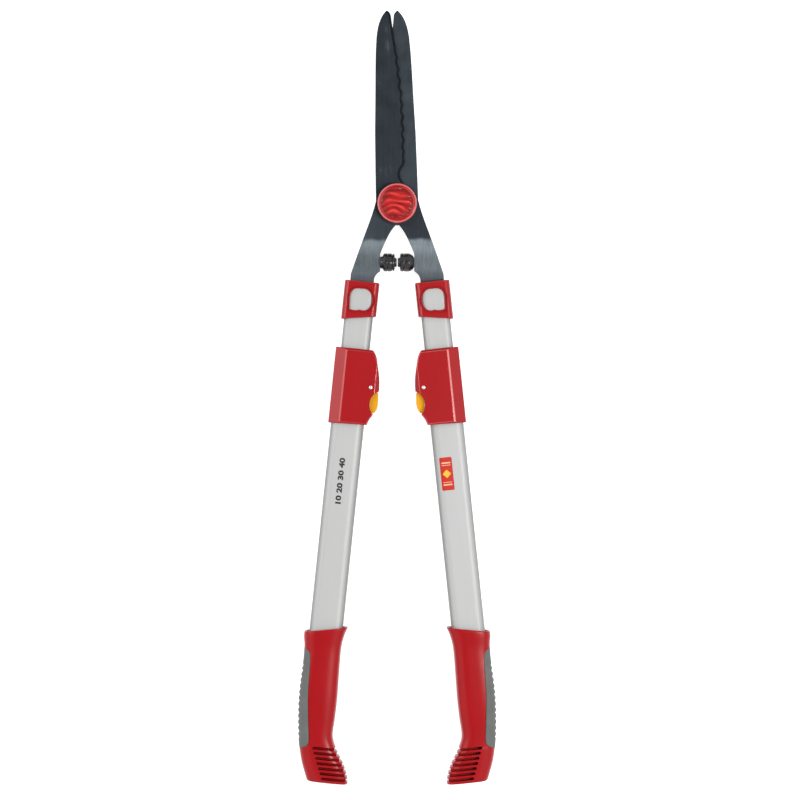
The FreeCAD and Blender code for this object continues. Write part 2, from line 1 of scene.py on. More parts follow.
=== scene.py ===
"""Telescopic hedge shears: finishes, finely modelled pieces, studio light and camera.

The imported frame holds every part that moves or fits. The classes below each dress one
sub-assembly: they give its nodes their finishes, and model the pieces that need a finer
form. Sizes are in millimetres. A handle is modelled in its own frame: u runs down the
handle, v points at the other handle, and z is up from the tubes' mid-plane.
"""

import json
import logging
import math
from dataclasses import dataclass, field
from enum import Enum
from typing import Any, Callable, Iterable, Sequence, Union

import bmesh
import bpy
from mathutils import Matrix, Vector


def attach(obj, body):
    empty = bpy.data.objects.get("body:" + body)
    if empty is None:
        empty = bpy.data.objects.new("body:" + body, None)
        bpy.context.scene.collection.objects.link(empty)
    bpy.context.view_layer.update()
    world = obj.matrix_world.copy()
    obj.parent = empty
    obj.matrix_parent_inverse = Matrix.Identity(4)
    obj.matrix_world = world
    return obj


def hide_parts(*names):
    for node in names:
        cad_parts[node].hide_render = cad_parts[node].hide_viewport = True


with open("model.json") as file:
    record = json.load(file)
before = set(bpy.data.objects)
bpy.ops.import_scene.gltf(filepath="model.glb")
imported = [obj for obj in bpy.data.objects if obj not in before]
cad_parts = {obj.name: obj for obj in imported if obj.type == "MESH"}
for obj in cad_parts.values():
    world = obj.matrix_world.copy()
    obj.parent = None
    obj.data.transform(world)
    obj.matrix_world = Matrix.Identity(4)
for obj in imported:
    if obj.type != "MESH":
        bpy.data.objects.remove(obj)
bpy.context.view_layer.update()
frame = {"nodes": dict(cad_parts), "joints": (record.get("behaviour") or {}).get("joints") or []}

MM = 0.001
MID_Z = 16.0                 # height of the tubes' mid-plane above the ground
PIN_U, PIN_V = 182.5, 19.4   # the lock lever's pin in the handle's frame
TUBE_HALF, TUBE_DEPTH, TUBE_ROUND = 16.55, 11.8, 7.55    # outer tube's section
Colour = tuple[float, float, float]
Profile = Sequence[tuple[float, float]]
log = logging.getLogger("hedge_shears")


# ---------------------------------------------------------------- frames and curves
class Side(Enum):
    """The two handles, as seen with the knob up and the blades away."""

    LEFT = "left"
    RIGHT = "right"

    @property
    def hand(self) -> int:
        """1 for the left handle, whose frame is right-handed, and -1 for the right."""
        return 1 if self is Side.LEFT else -1

    @property
    def upper(self) -> str:
        """The body that the handle's fixed tube belongs to."""
        return "rear_lever" if self is Side.LEFT else "front_lever"

    @property
    def lower(self) -> str:
        """The body that slides along the fixed tube."""
        return f"lower_handle_{self.value}"

    def node(self, name: str) -> str:
        """The name of this side's node or piece."""
        return f"{name}_{self.value}"


def joint(name: str) -> dict[str, Any]:
    """A joint of the frame by its name."""
    return next(entry for entry in frame["joints"] if entry["name"] == name)


@dataclass(frozen=True)
class Handle:
    """Where one handle lies: its side, its axes and its origin in metres."""

    side: Side
    down: Vector
    inward: Vector
    origin: Vector

    @classmethod
    def read(cls, side: Side) -> "Handle":
        """Works a handle's frame out from its slide and its lever's pin.

        Args:
            side: which handle.

        Returns:
            The handle's frame.
        """
        down = Vector(joint(side.node("telescope"))["axis"]).normalized()
        inward = Vector((-down.y, down.x, 0.0)) * side.hand
        pin = Vector(joint(f"lock_{side.value}_press")["pos_m"])
        return cls(side, down, inward, pin - (PIN_U * down + PIN_V * inward) * MM)

    @property
    def place(self) -> Matrix:
        """Takes a point in the handle's millimetres to the row frame in metres."""
        columns = (self.down * MM, self.inward * MM, Vector((0, 0, MM)), self.origin)
        rows = [[column[i] for column in columns] for i in range(3)]
        return Matrix((*rows, (0, 0, 0, 1)))

    @property
    def angle(self) -> float:
        """The direction that the handle points in, about Z."""
        return math.atan2(self.down.y, self.down.x)


def through(points: Profile, x: float) -> float:
    """Reads the smooth curve through a few points.

    Args:
        points: (x, y) pairs with x rising.
        x: where to read; past either end the end value holds.

    Returns:
        The curve's height at x.
    """
    last = len(points) - 1
    x = min(max(x, points[0][0]), points[-1][0])
    i = max(k for k in range(last) if points[k][0] <= x)

    def slope(k: int) -> float:
        """The curve's slope at a point, from its two neighbours."""
        before, after = points[max(k - 1, 0)], points[min(k + 1, last)]
        return (after[1] - before[1]) / (after[0] - before[0])

    (x0, y0), (x1, y1) = points[i], points[i + 1]
    wide = x1 - x0
    t = (x - x0) / wide
    near, far = (1 + 2 * t) * (1 - t) ** 2, t * t * (3 - 2 * t)
    leave, arrive = t * (1 - t) ** 2 * wide, t * t * (t - 1) * wide
    return near * y0 + far * y1 + leave * slope(i) + arrive * slope(i + 1)


def ease(value: float, low: float, high: float) -> float:
    """0 below low, 1 above high and a smooth step between; low may be the larger."""
    t = min(max((value - low) / (high - low), 0.0), 1.0)
    return t * t * (3 - 2 * t)


def spaced(start: float, end: float, step: float) -> list[float]:
    """Evenly spaced values from start to end, about a step apart."""
    count = max(1, round(abs(end - start) / step))
    return [start + (end - start) * i / count for i in range(count + 1)]


# ---------------------------------------------------------------- shader building
class Sock:
    """A shader socket that arithmetic turns into Math nodes."""

    def __init__(self, graph: "Graph", socket: bpy.types.NodeSocket) -> None:
        """Wraps one output socket of a graph."""
        self.graph = graph
        self.socket = socket

    def __add__(self, other: "Value") -> "Sock":
        """self + other."""
        return self.graph.maths("ADD", self, other)

    __radd__ = __add__

    def __sub__(self, other: "Value") -> "Sock":
        """self - other."""
        return self.graph.maths("SUBTRACT", self, other)

    def __rsub__(self, other: "Value") -> "Sock":
        """other - self."""
        return self.graph.maths("SUBTRACT", other, self)

    def __mul__(self, other: "Value") -> "Sock":
        """self * other."""
        return self.graph.maths("MULTIPLY", self, other)

    __rmul__ = __mul__

    def fade(self, low: float, high: float) -> "Sock":
        """0 at low and 1 at high with a smooth step between; low may be the larger."""
        if low > high:
            return 1 - self.fade(high, low)
        return self.graph.value("ShaderNodeMapRange", {"interpolation_type": "SMOOTHSTEP"},
                                {"Value": self, "From Min": low, "From Max": high})


Value = Union[Sock, float, Sequence[float]]


class Graph:
    """Builds the node tree of one material, or of the world."""

    def __init__(self, owner: "bpy.types.Material | bpy.types.World") -> None:
        """Starts the owner's tree afresh."""
        owner.use_nodes = True
        self.tree = owner.node_tree
        self.tree.nodes.clear()
        self.coordinates = self.node("ShaderNodeTexCoord", {}, {})
        self.place = Sock(self, self.coordinates.outputs["Object"])

    def node(self, kind: str, settings: dict[str, Any], inputs: dict[Any, Value]) -> bpy.types.Node:
        """Adds any node.

        Args:
            kind: the node's type.
            settings: its properties, set before its sockets. A ramp's "stops" are
                (position, value) pairs.
            inputs: the value or link of each socket, by name or number.

        Returns:
            The node.
        """
        made = self.tree.nodes.new(kind)
        for key, value in settings.items():
            if key != "stops":
                setattr(made, key, value)
                continue
            stops = made.color_ramp.elements
            while len(stops) < len(value):
                stops.new(1.0)
            for stop, (position, grey) in zip(stops, value):
                stop.position, stop.color = position, (grey, grey, grey, 1.0)
        for key, value in inputs.items():
            if isinstance(value, Sock):
                self.tree.links.new(value.socket, made.inputs[key])
            elif isinstance(value, (int, float)):
                made.inputs[key].default_value = value
            else:
                wanted = len(made.inputs[key].default_value)
                made.inputs[key].default_value = (*value, 1.0)[:wanted]
        return made

    def value(self, kind: str, settings: dict[str, Any], inputs: dict[Any, Value],
              outlet: "int | str" = 0) -> Sock:
        """Adds any node and gives one of its outputs."""
        return Sock(self, self.node(kind, settings, inputs).outputs[outlet])

    def maths(self, operation: str, *values: Value) -> Sock:
        """A Math node on one or two values."""
        return self.value("ShaderNodeMath", {"operation": operation}, dict(enumerate(values)))

    def noise(self, scale: float, detail: float = 2.0, at: "Sock | None" = None) -> Sock:
        """A noise texture's value, about 0.5 on average."""
        values = {"Vector": at or self.place, "Scale": scale, "Detail": detail, "Roughness": 0.6}
        return self.value("ShaderNodeTexNoise", {}, values)

    def streaks(self, angle: float, size: Sequence[float], detail: float,
                at: Sequence[float] = (0, 0, 0)) -> Sock:
        """Noise stretched over a size in metres, on axes that are turned about Z.

        Args:
            angle: how far the axes are turned.
            size: the length of one cell along each axis.
            detail: how many finer layers are added.
            at: where the axes start.

        Returns:
            The noise's value.
        """
        turned = {"Vector": self.place, "Location": at, "Rotation": (0, 0, angle), "Scale": size}
        place = self.value("ShaderNodeMapping", {"vector_type": "TEXTURE"}, turned)
        return self.noise(1.0, detail, place)

    def cells(self, scale: float) -> Sock:
        """The distance to the nearest cell point of a Voronoi texture."""
        return self.value("ShaderNodeTexVoronoi", {}, {"Vector": self.place, "Scale": scale}, "Distance")

    def ramp(self, factor: Sock, stops: Profile) -> Sock:
        """A grey ramp's value."""
        return self.value("ShaderNodeValToRGB", {"stops": stops}, {"Fac": factor}, "Color")

    def axis(self, vector: Sock, name: str) -> Sock:
        """One of a vector's parts: X, Y or Z."""
        return self.value("ShaderNodeSeparateXYZ", {}, {0: vector}, name)

    def level(self, normal: str = "True Normal") -> Sock:
        """1 where the surface lies level and 0 where it is upright.

        Args:
            normal: "True Normal" for each face's own, "Normal" for one smoothed over its neighbours.
        """
        facing = self.value("ShaderNodeNewGeometry", {}, {}, normal)
        return self.maths("ABSOLUTE", self.axis(facing, "Z"))

    def scaled(self, colour: Value, amount: Sock) -> Sock:
        """A colour made lighter or darker."""
        return self.value("ShaderNodeVectorMath", {"operation": "SCALE"}, {0: colour, "Scale": amount})

    def mixed(self, factor: Value, first: Value, second: Value) -> Sock:
        """One colour turning into another."""
        return self.value("ShaderNodeMix", {"data_type": "RGBA"}, {0: factor, 6: first, 7: second}, 2)

    def bump(self, height: Sock, strength: float, depth: float) -> Sock:
        """A normal roughened by a height; depth is in millimetres."""
        values = {"Height": height, "Strength": strength, "Distance": depth * MM}
        return self.value("ShaderNodeBump", {}, values)

    def finish(self, **inputs: Value) -> None:
        """Ends the tree in a Principled shader.

        Args:
            **inputs: its sockets, with _ for a space.
        """
        named = {key.replace("_", " "): value for key, value in inputs.items()}
        if "Specular" in named:
            named["Specular IOR Level"] = named.pop("Specular")
        shader = self.node("ShaderNodeBsdfPrincipled", {}, named)
        self.node("ShaderNodeOutputMaterial", {}, {0: Sock(self, shader.outputs[0])})


# ---------------------------------------------------------------- finishes
@dataclass(frozen=True)
class Finish:
    """A surface finish. Each kind draws its own node tree in draw()."""

    name: str
    slot: str

    def draw(self, graph: Graph) -> None:
        """Fills the material's tree."""
        raise NotImplementedError

    def material(self) -> bpy.types.Material:
        """The finish's material, made when it is first asked for."""
        known = bpy.data.materials.get(self.name)
        if known:
            return known
        made = bpy.data.materials.new(self.name)
        self.draw(Graph(made))
        return made


@dataclass(frozen=True)
class Moulded(Finish):
    """Injection-moulded plastic: faint flow lines, spark-eroded grain, a few scuffs."""

    colour: Colour = (0.25, 0.003, 0.005)
    angle: float = -math.pi / 2      # the way that the plastic flowed
    roughness: float = 0.36
    specular: float = 0.3
    coat: float = 0.3

    def draw(self, graph: Graph) -> None:
        """Flow lines run along the piece, and scuffs are rougher and paler."""
        flow = graph.streaks(self.angle, (0.05, 0.0022, 0.0022), 3.0)
        cloud = graph.noise(38.0, 3.0)
        grain = graph.noise(3400.0, 2.0)
        scratch = graph.streaks(self.angle + 0.3, (0.03, 0.0005, 0.0005), 4.0)
        scuffs = graph.ramp(scratch, ((0.62, 0.0), (0.72, 1.0))) * cloud.fade(0.5, 0.7)
        tone = 0.86 + flow * 0.16 + cloud * 0.14 + scuffs * 0.14
        base = self.tint(graph, graph.scaled(self.colour, tone))
        gloss = self.gloss(graph)
        rough = self.roughness - 0.05 + grain * 0.1 + scuffs * 0.16 - gloss * 0.12
        coat = self.coat - scuffs * (self.coat * 0.6) + gloss * 0.6
        relief = graph.bump(grain + cloud * 0.4 - scuffs * 0.3, 0.22, 0.05)
        graph.finish(Base_Color=base, Roughness=rough, Normal=relief, Specular=self.specular,
                     Coat_Weight=coat, Coat_Roughness=0.1)

    def tint(self, graph: Graph, base: Sock) -> Sock:
        """Lets a kind of moulding vary its colour from place to place."""
        return base

    def gloss(self, graph: Graph) -> Value:
        """How glossy the surface is, from place to place."""
        return 0.0


@dataclass(frozen=True)
class CreasedMoulding(Moulded):
    """A moulding whose rounded creases and rims are glossier and carry a pale painted highlight, with painted
    shade on its steep sides.

    A crease is found by its slope: crease_low and crease_high are the levels, as
    Graph.level gives them, between which its mask rises and falls again.
    """

    # how glossy the creases are and how strong their painted highlight is
    gloss_and_highlight: float = 0.3
    # the creases' pale painted highlight
    crease_highlight_colour: Colour = (0.5, 0.14, 0.13)
    # painted shade on the steep sides: its strength and colour
    side_shade: float = 0.5
    side_shade_colour: Colour = (0.1, 0.003, 0.008)
    crease_low: tuple[float, float] = (0.922, 0.94)
    crease_high: tuple[float, float] = (0.988, 0.996)

    def tint(self, graph: Graph, base: Sock) -> Sock:
        """The creases get a pale painted highlight, and painted shade darkens the steep sides."""
        # painted shade on the steep sides
        steep = 1 - graph.level("Normal").fade(0.3, 0.85)
        base = graph.mixed(steep * self.side_shade, base, self.side_shade_colour)
        return graph.mixed(self.gloss(graph), base, self.crease_highlight_colour)

    def gloss(self, graph: Graph) -> Value:
        """Finds the creases by their slope; they are glossier and carry the painted highlight."""
        level = graph.level("Normal")
        return level.fade(*self.crease_low) * (1 - level.fade(*self.crease_high)) * self.gloss_and_highlight


@dataclass(frozen=True)
class KnobMoulding(Moulded):
    """The knob's plastic: painted shade in the hollows of its face, painted highlights on its crests and
    round its rim.
    """

    centre: Colour = (0.0, 0.0, 0.0)
    hollow: tuple[float, float] = (0.0196, 0.0205)    # heights above the centre
    crest: tuple[float, float] = (0.0207, 0.0213)
    rim: tuple[float, float] = (0.0176, 0.0184)       # radii
    rim_height: tuple[float, float] = (0.0142, 0.0156)
    # painted shade in the face's hollows
    deep: Colour = (0.1, 0.0005, 0.001)
    # painted highlight on the crests
    sheen_colour: Colour = (0.5, 0.034, 0.028)
    # pale painted highlight round the rim
    painted_rim_highlight: Colour = (0.5, 0.13, 0.13)

    def tint(self, graph: Graph, base: Sock) -> Sock:
        """Mixes painted shade and highlights by height and by distance from the knob's axis."""
        x, y, z = (graph.axis(graph.place, name) - part for name, part in zip("XYZ", self.centre))
        reach = graph.maths("SQRT", x * x + y * y)
        # painted shade in the hollows of the face
        sunk = 1 - z.fade(*self.hollow)
        base = graph.mixed(sunk * (1 - reach.fade(0.0152, 0.0166)) * 0.75, base, self.deep)
        # painted highlight on the crests
        base = graph.mixed(z.fade(*self.crest), base, self.sheen_colour)
        # pale painted highlight round the rim
        wear_and_highlight = reach.fade(*self.rim) * z.fade(*self.rim_height) * 0.8
        return graph.mixed(wear_and_highlight, base, self.painted_rim_highlight)


@dataclass(frozen=True)
class SoftTouch(Finish):
    """Soft rubber or soft overmould: matt, finely stippled, dusty in places."""

    colour: Colour = (0.16, 0.17, 0.16)
    roughness: float = 0.72
    stipple: float = 0.5
    specular: float = 0.35

    def draw(self, graph: Graph) -> None:
        """A cellular stipple with pale dust between its dots."""
        dots = graph.cells(1500.0)
        cloud = graph.noise(70.0, 4.0)
        fine = graph.noise(2600.0, 2.0)
        tone = 0.8 + cloud * 0.26 + fine * 0.14
        dusty = cloud.fade(0.5, 0.72) * 0.14
        pale = tuple(1.4 * part + 0.02 for part in self.colour)
        base = graph.mixed(dusty, graph.scaled(self.colour, tone), pale)
        rough = self.roughness - 0.06 + fine * 0.12
        relief = graph.bump(fine * 0.5 - dots, self.stipple, 0.08)
        graph.finish(Base_Color=base, Roughness=rough, Normal=relief, Specular=self.specular)


@dataclass(frozen=True)
class ForgedSteel(Finish):
    """Dark coated blade steel whose cranked tangs are paler steel with a painted reflection, and whose ground
    edge carries painted shade.
    """

    shade: float = 1.0           # how light the coating is
    pivot_y: float = 0.0
    lean: float = 0.0            # the blade's angle from Y
    dark: Colour = (0.036, 0.044, 0.052)
    # the tangs' paler steel, which carries a painted reflection of the crank
    sheen_colour: Colour = (0.14, 0.162, 0.175)
    # near black: painted shade along the ground edge
    edge_shade: Colour = (0.009, 0.011, 0.014)
    wear_and_highlight: Colour = (0.16, 0.18, 0.19)

    def draw(self, graph: Graph) -> None:
        """Masks the tang by its distance below the pivot and the ground edge by its slope; both masks carry
        painted light.
        """
        below = self.pivot_y - graph.axis(graph.place, "Y")
        cloud = graph.noise(55.0, 4.0)
        drawn = graph.streaks(self.lean, (0.0012, 0.03, 0.0012), 4.0)
        scale_pits = graph.noise(900.0, 3.0)
        # Paler tang steel below the crank with a painted reflection: a bright band where the crank's slope
        # would catch the light, fading down the tang.
        edge = below + (cloud - 0.5) * 0.006
        tang = edge.fade(0.034, 0.039) * (1 - edge.fade(0.042, 0.056) * 0.42)
        tang = tang * (1 - edge.fade(0.064, 0.08) * 0.55) * (0.7 + drawn * 0.6)
        level = graph.level()
        # The ground edge is glossier and finely lined, and its colour is painted shade: drawn near black.
        honed_and_shaded = level.fade(0.8, 0.84) * (1 - level.fade(0.9, 0.94)) * below.fade(0.0, -0.02)
        lines = graph.streaks(0.5, (0.004, 0.0003, 0.004), 2.0)
        tone = 0.46 + cloud * 0.6 + drawn * 0.46
        dark = tuple(part * self.shade for part in self.dark)
        base = graph.mixed(tang, graph.scaled(dark, tone), graph.scaled(self.sheen_colour, tone))
        base = graph.mixed(honed_and_shaded, base, graph.scaled(self.edge_shade, 0.7 + lines * 0.6))
        wear_and_highlight = (drawn * cloud).fade(0.34, 0.5) * 0.25
        base = graph.mixed(wear_and_highlight, base, self.wear_and_highlight)
        rough = 0.5 + (cloud - 0.5) * 0.24 - honed_and_shaded * 0.12 - wear_and_highlight * 0.3
        relief = graph.bump(scale_pits * 0.6 + drawn * 0.5 + lines * honed_and_shaded * 0.6, 0.3, 0.07)
        graph.finish(Base_Color=base, Roughness=rough, Normal=relief, Metallic=1.0)


@dataclass(frozen=True)
class Anodised(Finish):
    """Satin anodised tube: long drawing lines, a faint tint and sliding marks."""

    colour: Colour = (0.335, 0.337, 0.333)
    angle: float = 0.0
    marks: float = 0.5

    def draw(self, graph: Graph) -> None:
        """Lines and marks run along the tube, and the rounded sides get painted shade."""
        lines = graph.streaks(self.angle, (0.09, 0.0007, 0.0007), 4.0)
        slow = graph.streaks(self.angle, (0.12, 0.012, 0.012), 2.0)
        fine = graph.noise(2200.0, 2.0)
        slid = graph.streaks(self.angle, (0.05, 0.0011, 0.0011), 3.0, (0.004, 0.002, 0))
        rub = graph.ramp(slid, ((0.6, 0.0), (0.74, 1.0))) * self.marks
        tone = 0.93 + lines * 0.07 + slow * 0.08 - rub * 0.08
        # painted shade: the tube's rounded sides are drawn darker than its flat face
        steep = 1 - graph.level().fade(0.4, 0.97)
        base = graph.scaled(self.colour, tone - steep * 0.42)
        rough = 0.54 + (lines - 0.5) * 0.16 + rub * 0.1 + (fine - 0.5) * 0.06
        relief = graph.bump(lines * 0.7 + fine * 0.3 - rub * 0.5, 0.16, 0.03)
        graph.finish(Base_Color=base, Roughness=rough, Normal=relief, Metallic=0.3, Specular=0.3)


@dataclass(frozen=True)
class Metal(Finish):
    """Bare or plated metal in small turned and stamped parts."""

    colour: Colour = (0.6, 0.6, 0.58)
    roughness: float = 0.3
    stain: Colour = (0.42, 0.4, 0.34)

    def draw(self, graph: Graph) -> None:
        """Cloudy plating with darker staining and fine turning marks."""
        cloud = graph.noise(260.0, 4.0)
        fine = graph.noise(3000.0, 3.0)
        tone = 0.86 + cloud * 0.2 + fine * 0.08
        base = graph.mixed(cloud.fade(0.52, 0.7) * 0.5, graph.scaled(self.colour, tone), self.stain)
        rough = self.roughness - 0.08 + cloud * 0.2
        relief = graph.bump(fine, 0.12, 0.03)
        graph.finish(Base_Color=base, Roughness=rough, Normal=relief, Metallic=1.0)


@dataclass(frozen=True)
class Printed(Finish):
    """Ink or a film label on the tube: slightly uneven and a little scuffed."""

    colour: Colour = (0.01, 0.01, 0.011)
    wear: Colour = (0.2, 0.2, 0.2)
    roughness: float = 0.5

    def draw(self, graph: Graph) -> None:
        """Thin spots where the ink is scuffed."""
        cloud = graph.noise(900.0, 3.0)
        thin = cloud.fade(0.6, 0.78) * 0.35
        base = graph.mixed(thin, graph.scaled(self.colour, 0.9 + cloud * 0.2), self.wear)
        rough = self.roughness - 0.05 + cloud * 0.1
        graph.finish(Base_Color=base, Roughness=rough, Specular=0.3,
                     Normal=graph.bump(cloud, 0.08, 0.02))


@dataclass(frozen=True)
class LightTable(Finish):
    """The studio's pale floor, softly lit from below so that shadows stay faint."""

    colour: Colour = (0.6, 0.6, 0.6)
    glow: float = 0.72

    def draw(self, graph: Graph) -> None:
        """Almost even, with a trace of tooth."""
        cloud = graph.noise(9.0, 2.0)
        graph.finish(Base_Color=graph.scaled(self.colour, 0.99 + cloud * 0.02), Roughness=0.9,
                     Specular=0.1, Normal=graph.bump(graph.noise(700.0), 0.02, 0.05),
                     Emission_Color=(1.0, 1.0, 1.0), Emission_Strength=self.glow)


class Palette:
    """Every finish of the shears."""

    RED = Moulded("red_moulding", "red_plastic", (0.245, 0.003, 0.005), roughness=0.3, specular=0.13)
    KNOB_RED = KnobMoulding("knob_moulding", "red_plastic", (0.29, 0.0045, 0.0045), roughness=0.32,
                            specular=0.15, coat=0.12, centre=tuple(joint("blade_pivot")["pos_m"]))
    YELLOW = Moulded("yellow_moulding", "yellow_plastic", (0.56, 0.265, 0.005), specular=0.15, coat=0.1)
    BLACK = Moulded("black_moulding", "black_plastic", (0.02, 0.02, 0.022))
    INLAY = SoftTouch("grey_soft_grip", "grey_rubber", (0.082, 0.088, 0.083))
    BUMPER = SoftTouch("black_bumper_rubber", "black_rubber", (0.002, 0.002, 0.003), 0.27, 0.08, 0.5)
    PLATED = Metal("zinc_plated_steel", "plated_steel")
    BRONZE = Metal("sintered_bronze", "bearing_bronze", (0.5, 0.31, 0.15), 0.36, (0.3, 0.17, 0.08))
    BRASS = Metal("turned_brass", "brass", (0.72, 0.5, 0.2), 0.26, (0.5, 0.33, 0.13))
    INK = Printed("black_ink", "black_plastic")
    LABEL = Printed("label_film", "red_plastic", (0.36, 0.012, 0.004), (0.5, 0.12, 0.05), 0.32)
    LABEL_SUN = Printed("label_yellow", "yellow_plastic", (0.66, 0.33, 0.02), (0.66, 0.4, 0.1), 0.32)
    LABEL_PALE = Printed("label_pale_bars", "grey_rubber", (0.6, 0.33, 0.2), (0.6, 0.3, 0.2), 0.32)
    FLOOR = LightTable("pale_light_table", "")


# ---------------------------------------------------------------- mesh building
def lofted(rings: Iterable[Sequence[Vector]]) -> bmesh.types.BMesh:
    """A closed skin that grows ring by ring; every ring is extruded from the last.

    Args:
        rings: the points of each ring, in order and equally many.

    Returns:
        The mesh, with a face over its first and last ring.
    """
    mesh = bmesh.new()
    ring: list[bmesh.types.BMVert] = []

    def edges() -> list[bmesh.types.BMEdge]:
        """The newest ring's edges."""
        return [mesh.edges.get(pair) for pair in zip(ring, ring[1:] + ring[:1])]

    for points in rings:
        first = not ring
        if first:
            ring = bmesh.ops.create_circle(mesh, segments=len(points), radius=1.0)["verts"]
        else:
            made = bmesh.ops.extrude_edge_only(mesh, edges=edges())["geom"]
            fresh = {item for item in made if isinstance(item, bmesh.types.BMVert)}
            ring = [next(edge.other_vert(old) for edge in old.link_edges if edge.other_vert(old) in fresh)
                    for old in ring]
        for vert, point in zip(ring, points):
            vert.co = point
        if first:
            bmesh.ops.contextual_create(mesh, geom=edges())
    bmesh.ops.contextual_create(mesh, geom=edges())
    return mesh


def turned_ring(radius: float, height: float, count: int,
                shape: "Callable[[float], tuple[float, float]] | None" = None) -> list[Vector]:
    """A ring about Z.

    Args:
        radius: its radius.
        height: its height.
        count: how many points it has.
        shape: gives what to add to the radius and the height at each angle.

    Returns:
        The ring's points.
    """
    points = []
    for i in range(count):
        angle = math.tau * i / count
        swell, lift = shape(angle) if shape else (0.0, 0.0)
        far = radius + swell
        points.append(Vector((far * math.cos(angle), far * math.sin(angle), height + lift)))
    return points


def slab(size: Sequence[float], centre: Sequence[float], soften: float = 0.0) -> bmesh.types.BMesh:
    """A block with softened edges, in the caller's millimetres."""
    mesh = bmesh.new()
    bmesh.ops.create_cube(mesh, size=1.0)
    bmesh.ops.scale(mesh, vec=Vector(size), verts=mesh.verts)
    if soften:
        bmesh.ops.bevel(mesh, geom=mesh.edges, offset=soften, affect="EDGES", segments=3,
                        profile=0.5, material=-1)
    bmesh.ops.translate(mesh, vec=Vector(centre), verts=mesh.verts)
    return mesh


def joined(meshes: Iterable[bmesh.types.BMesh]) -> bmesh.types.BMesh:
    """Several meshes as one; the given ones are used up."""
    whole = bmesh.new()
    for mesh in meshes:
        loose = bpy.data.meshes.new("joined")
        mesh.to_mesh(loose)
        mesh.free()
        whole.from_mesh(loose)
        bpy.data.meshes.remove(loose)
    return whole


def as_object(name: str, mesh: bmesh.types.BMesh) -> bpy.types.Object:
    """Turns a finished mesh into an object in the scene; the mesh is used up."""
    data = bpy.data.meshes.new(name)
    mesh.to_mesh(data)
    mesh.free()
    made = bpy.data.objects.new(name, data)
    bpy.context.scene.collection.objects.link(made)
    return made


def carved(body: bmesh.types.BMesh, tools: bmesh.types.BMesh) -> bmesh.types.BMesh:
    """Cuts solids out of a body.

    Args:
        body: the closed mesh to cut.
        tools: the closed solids to remove; they may not overlap each other.

    Returns:
        The cut mesh.
    """
    for mesh in (body, tools):
        bmesh.ops.recalc_face_normals(mesh, faces=mesh.faces)
    blank, cutter = as_object("blank", body), as_object("cutter", tools)
    cut = blank.modifiers.new("cut", "BOOLEAN")
    cut.operation, cut.solver, cut.object = "DIFFERENCE", "EXACT", cutter
    bpy.context.view_layer.update()
    result = bpy.data.meshes.new_from_object(blank.evaluated_get(bpy.context.evaluated_depsgraph_get()))
    whole = bmesh.new()
    whole.from_mesh(result)
    for spent in (blank, cutter):
        bpy.data.meshes.remove(spent.data)
    bpy.data.meshes.remove(result)
    return whole


def add_piece(name: str, mesh: bmesh.types.BMesh, place: Matrix, body: str, finish: Finish,
              stands_for: Sequence[str] = (), crease: float = 32.0) -> bpy.types.Object:
    """Finishes a new piece and puts it on its body.

    Args:
        name: the piece's name.
        mesh: its closed mesh, in its maker's own units; it is used up.
        place: takes those units to the row frame.
        body: the body that it rides on.
        finish: its finish.
        stands_for: the nodes that it replaces.
        crease: edges sharper than this many degrees stay sharp.

    Returns:
        The piece's object.
    """
    bmesh.ops.transform(mesh, matrix=place, verts=mesh.verts)
    bmesh.ops.remove_doubles(mesh, verts=mesh.verts, dist=1e-7)
    bmesh.ops.recalc_face_normals(mesh, faces=mesh.faces)
    made = as_object(name, mesh)
    made.data.materials.append(finish.material())
    made.data.shade_smooth()
    made.data.set_sharp_from_angle(angle=math.radians(crease))
    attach(made, body)
    if stands_for:
        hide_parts(*stands_for)
    log.info("piece %s: %d faces on %s", name, len(made.data.polygons), body)
    return made


def dress(names: Iterable[str], finish: Finish) -> None:
    """Gives frame nodes their finish.

    Args:
        names: the nodes.
        finish: what they are made of.
    """
    for name in names:
        node = frame["nodes"][name]
        for slot in node.material_slots:
            slot.material = finish.material()
        log.info("node %s: %s", name, finish.name)


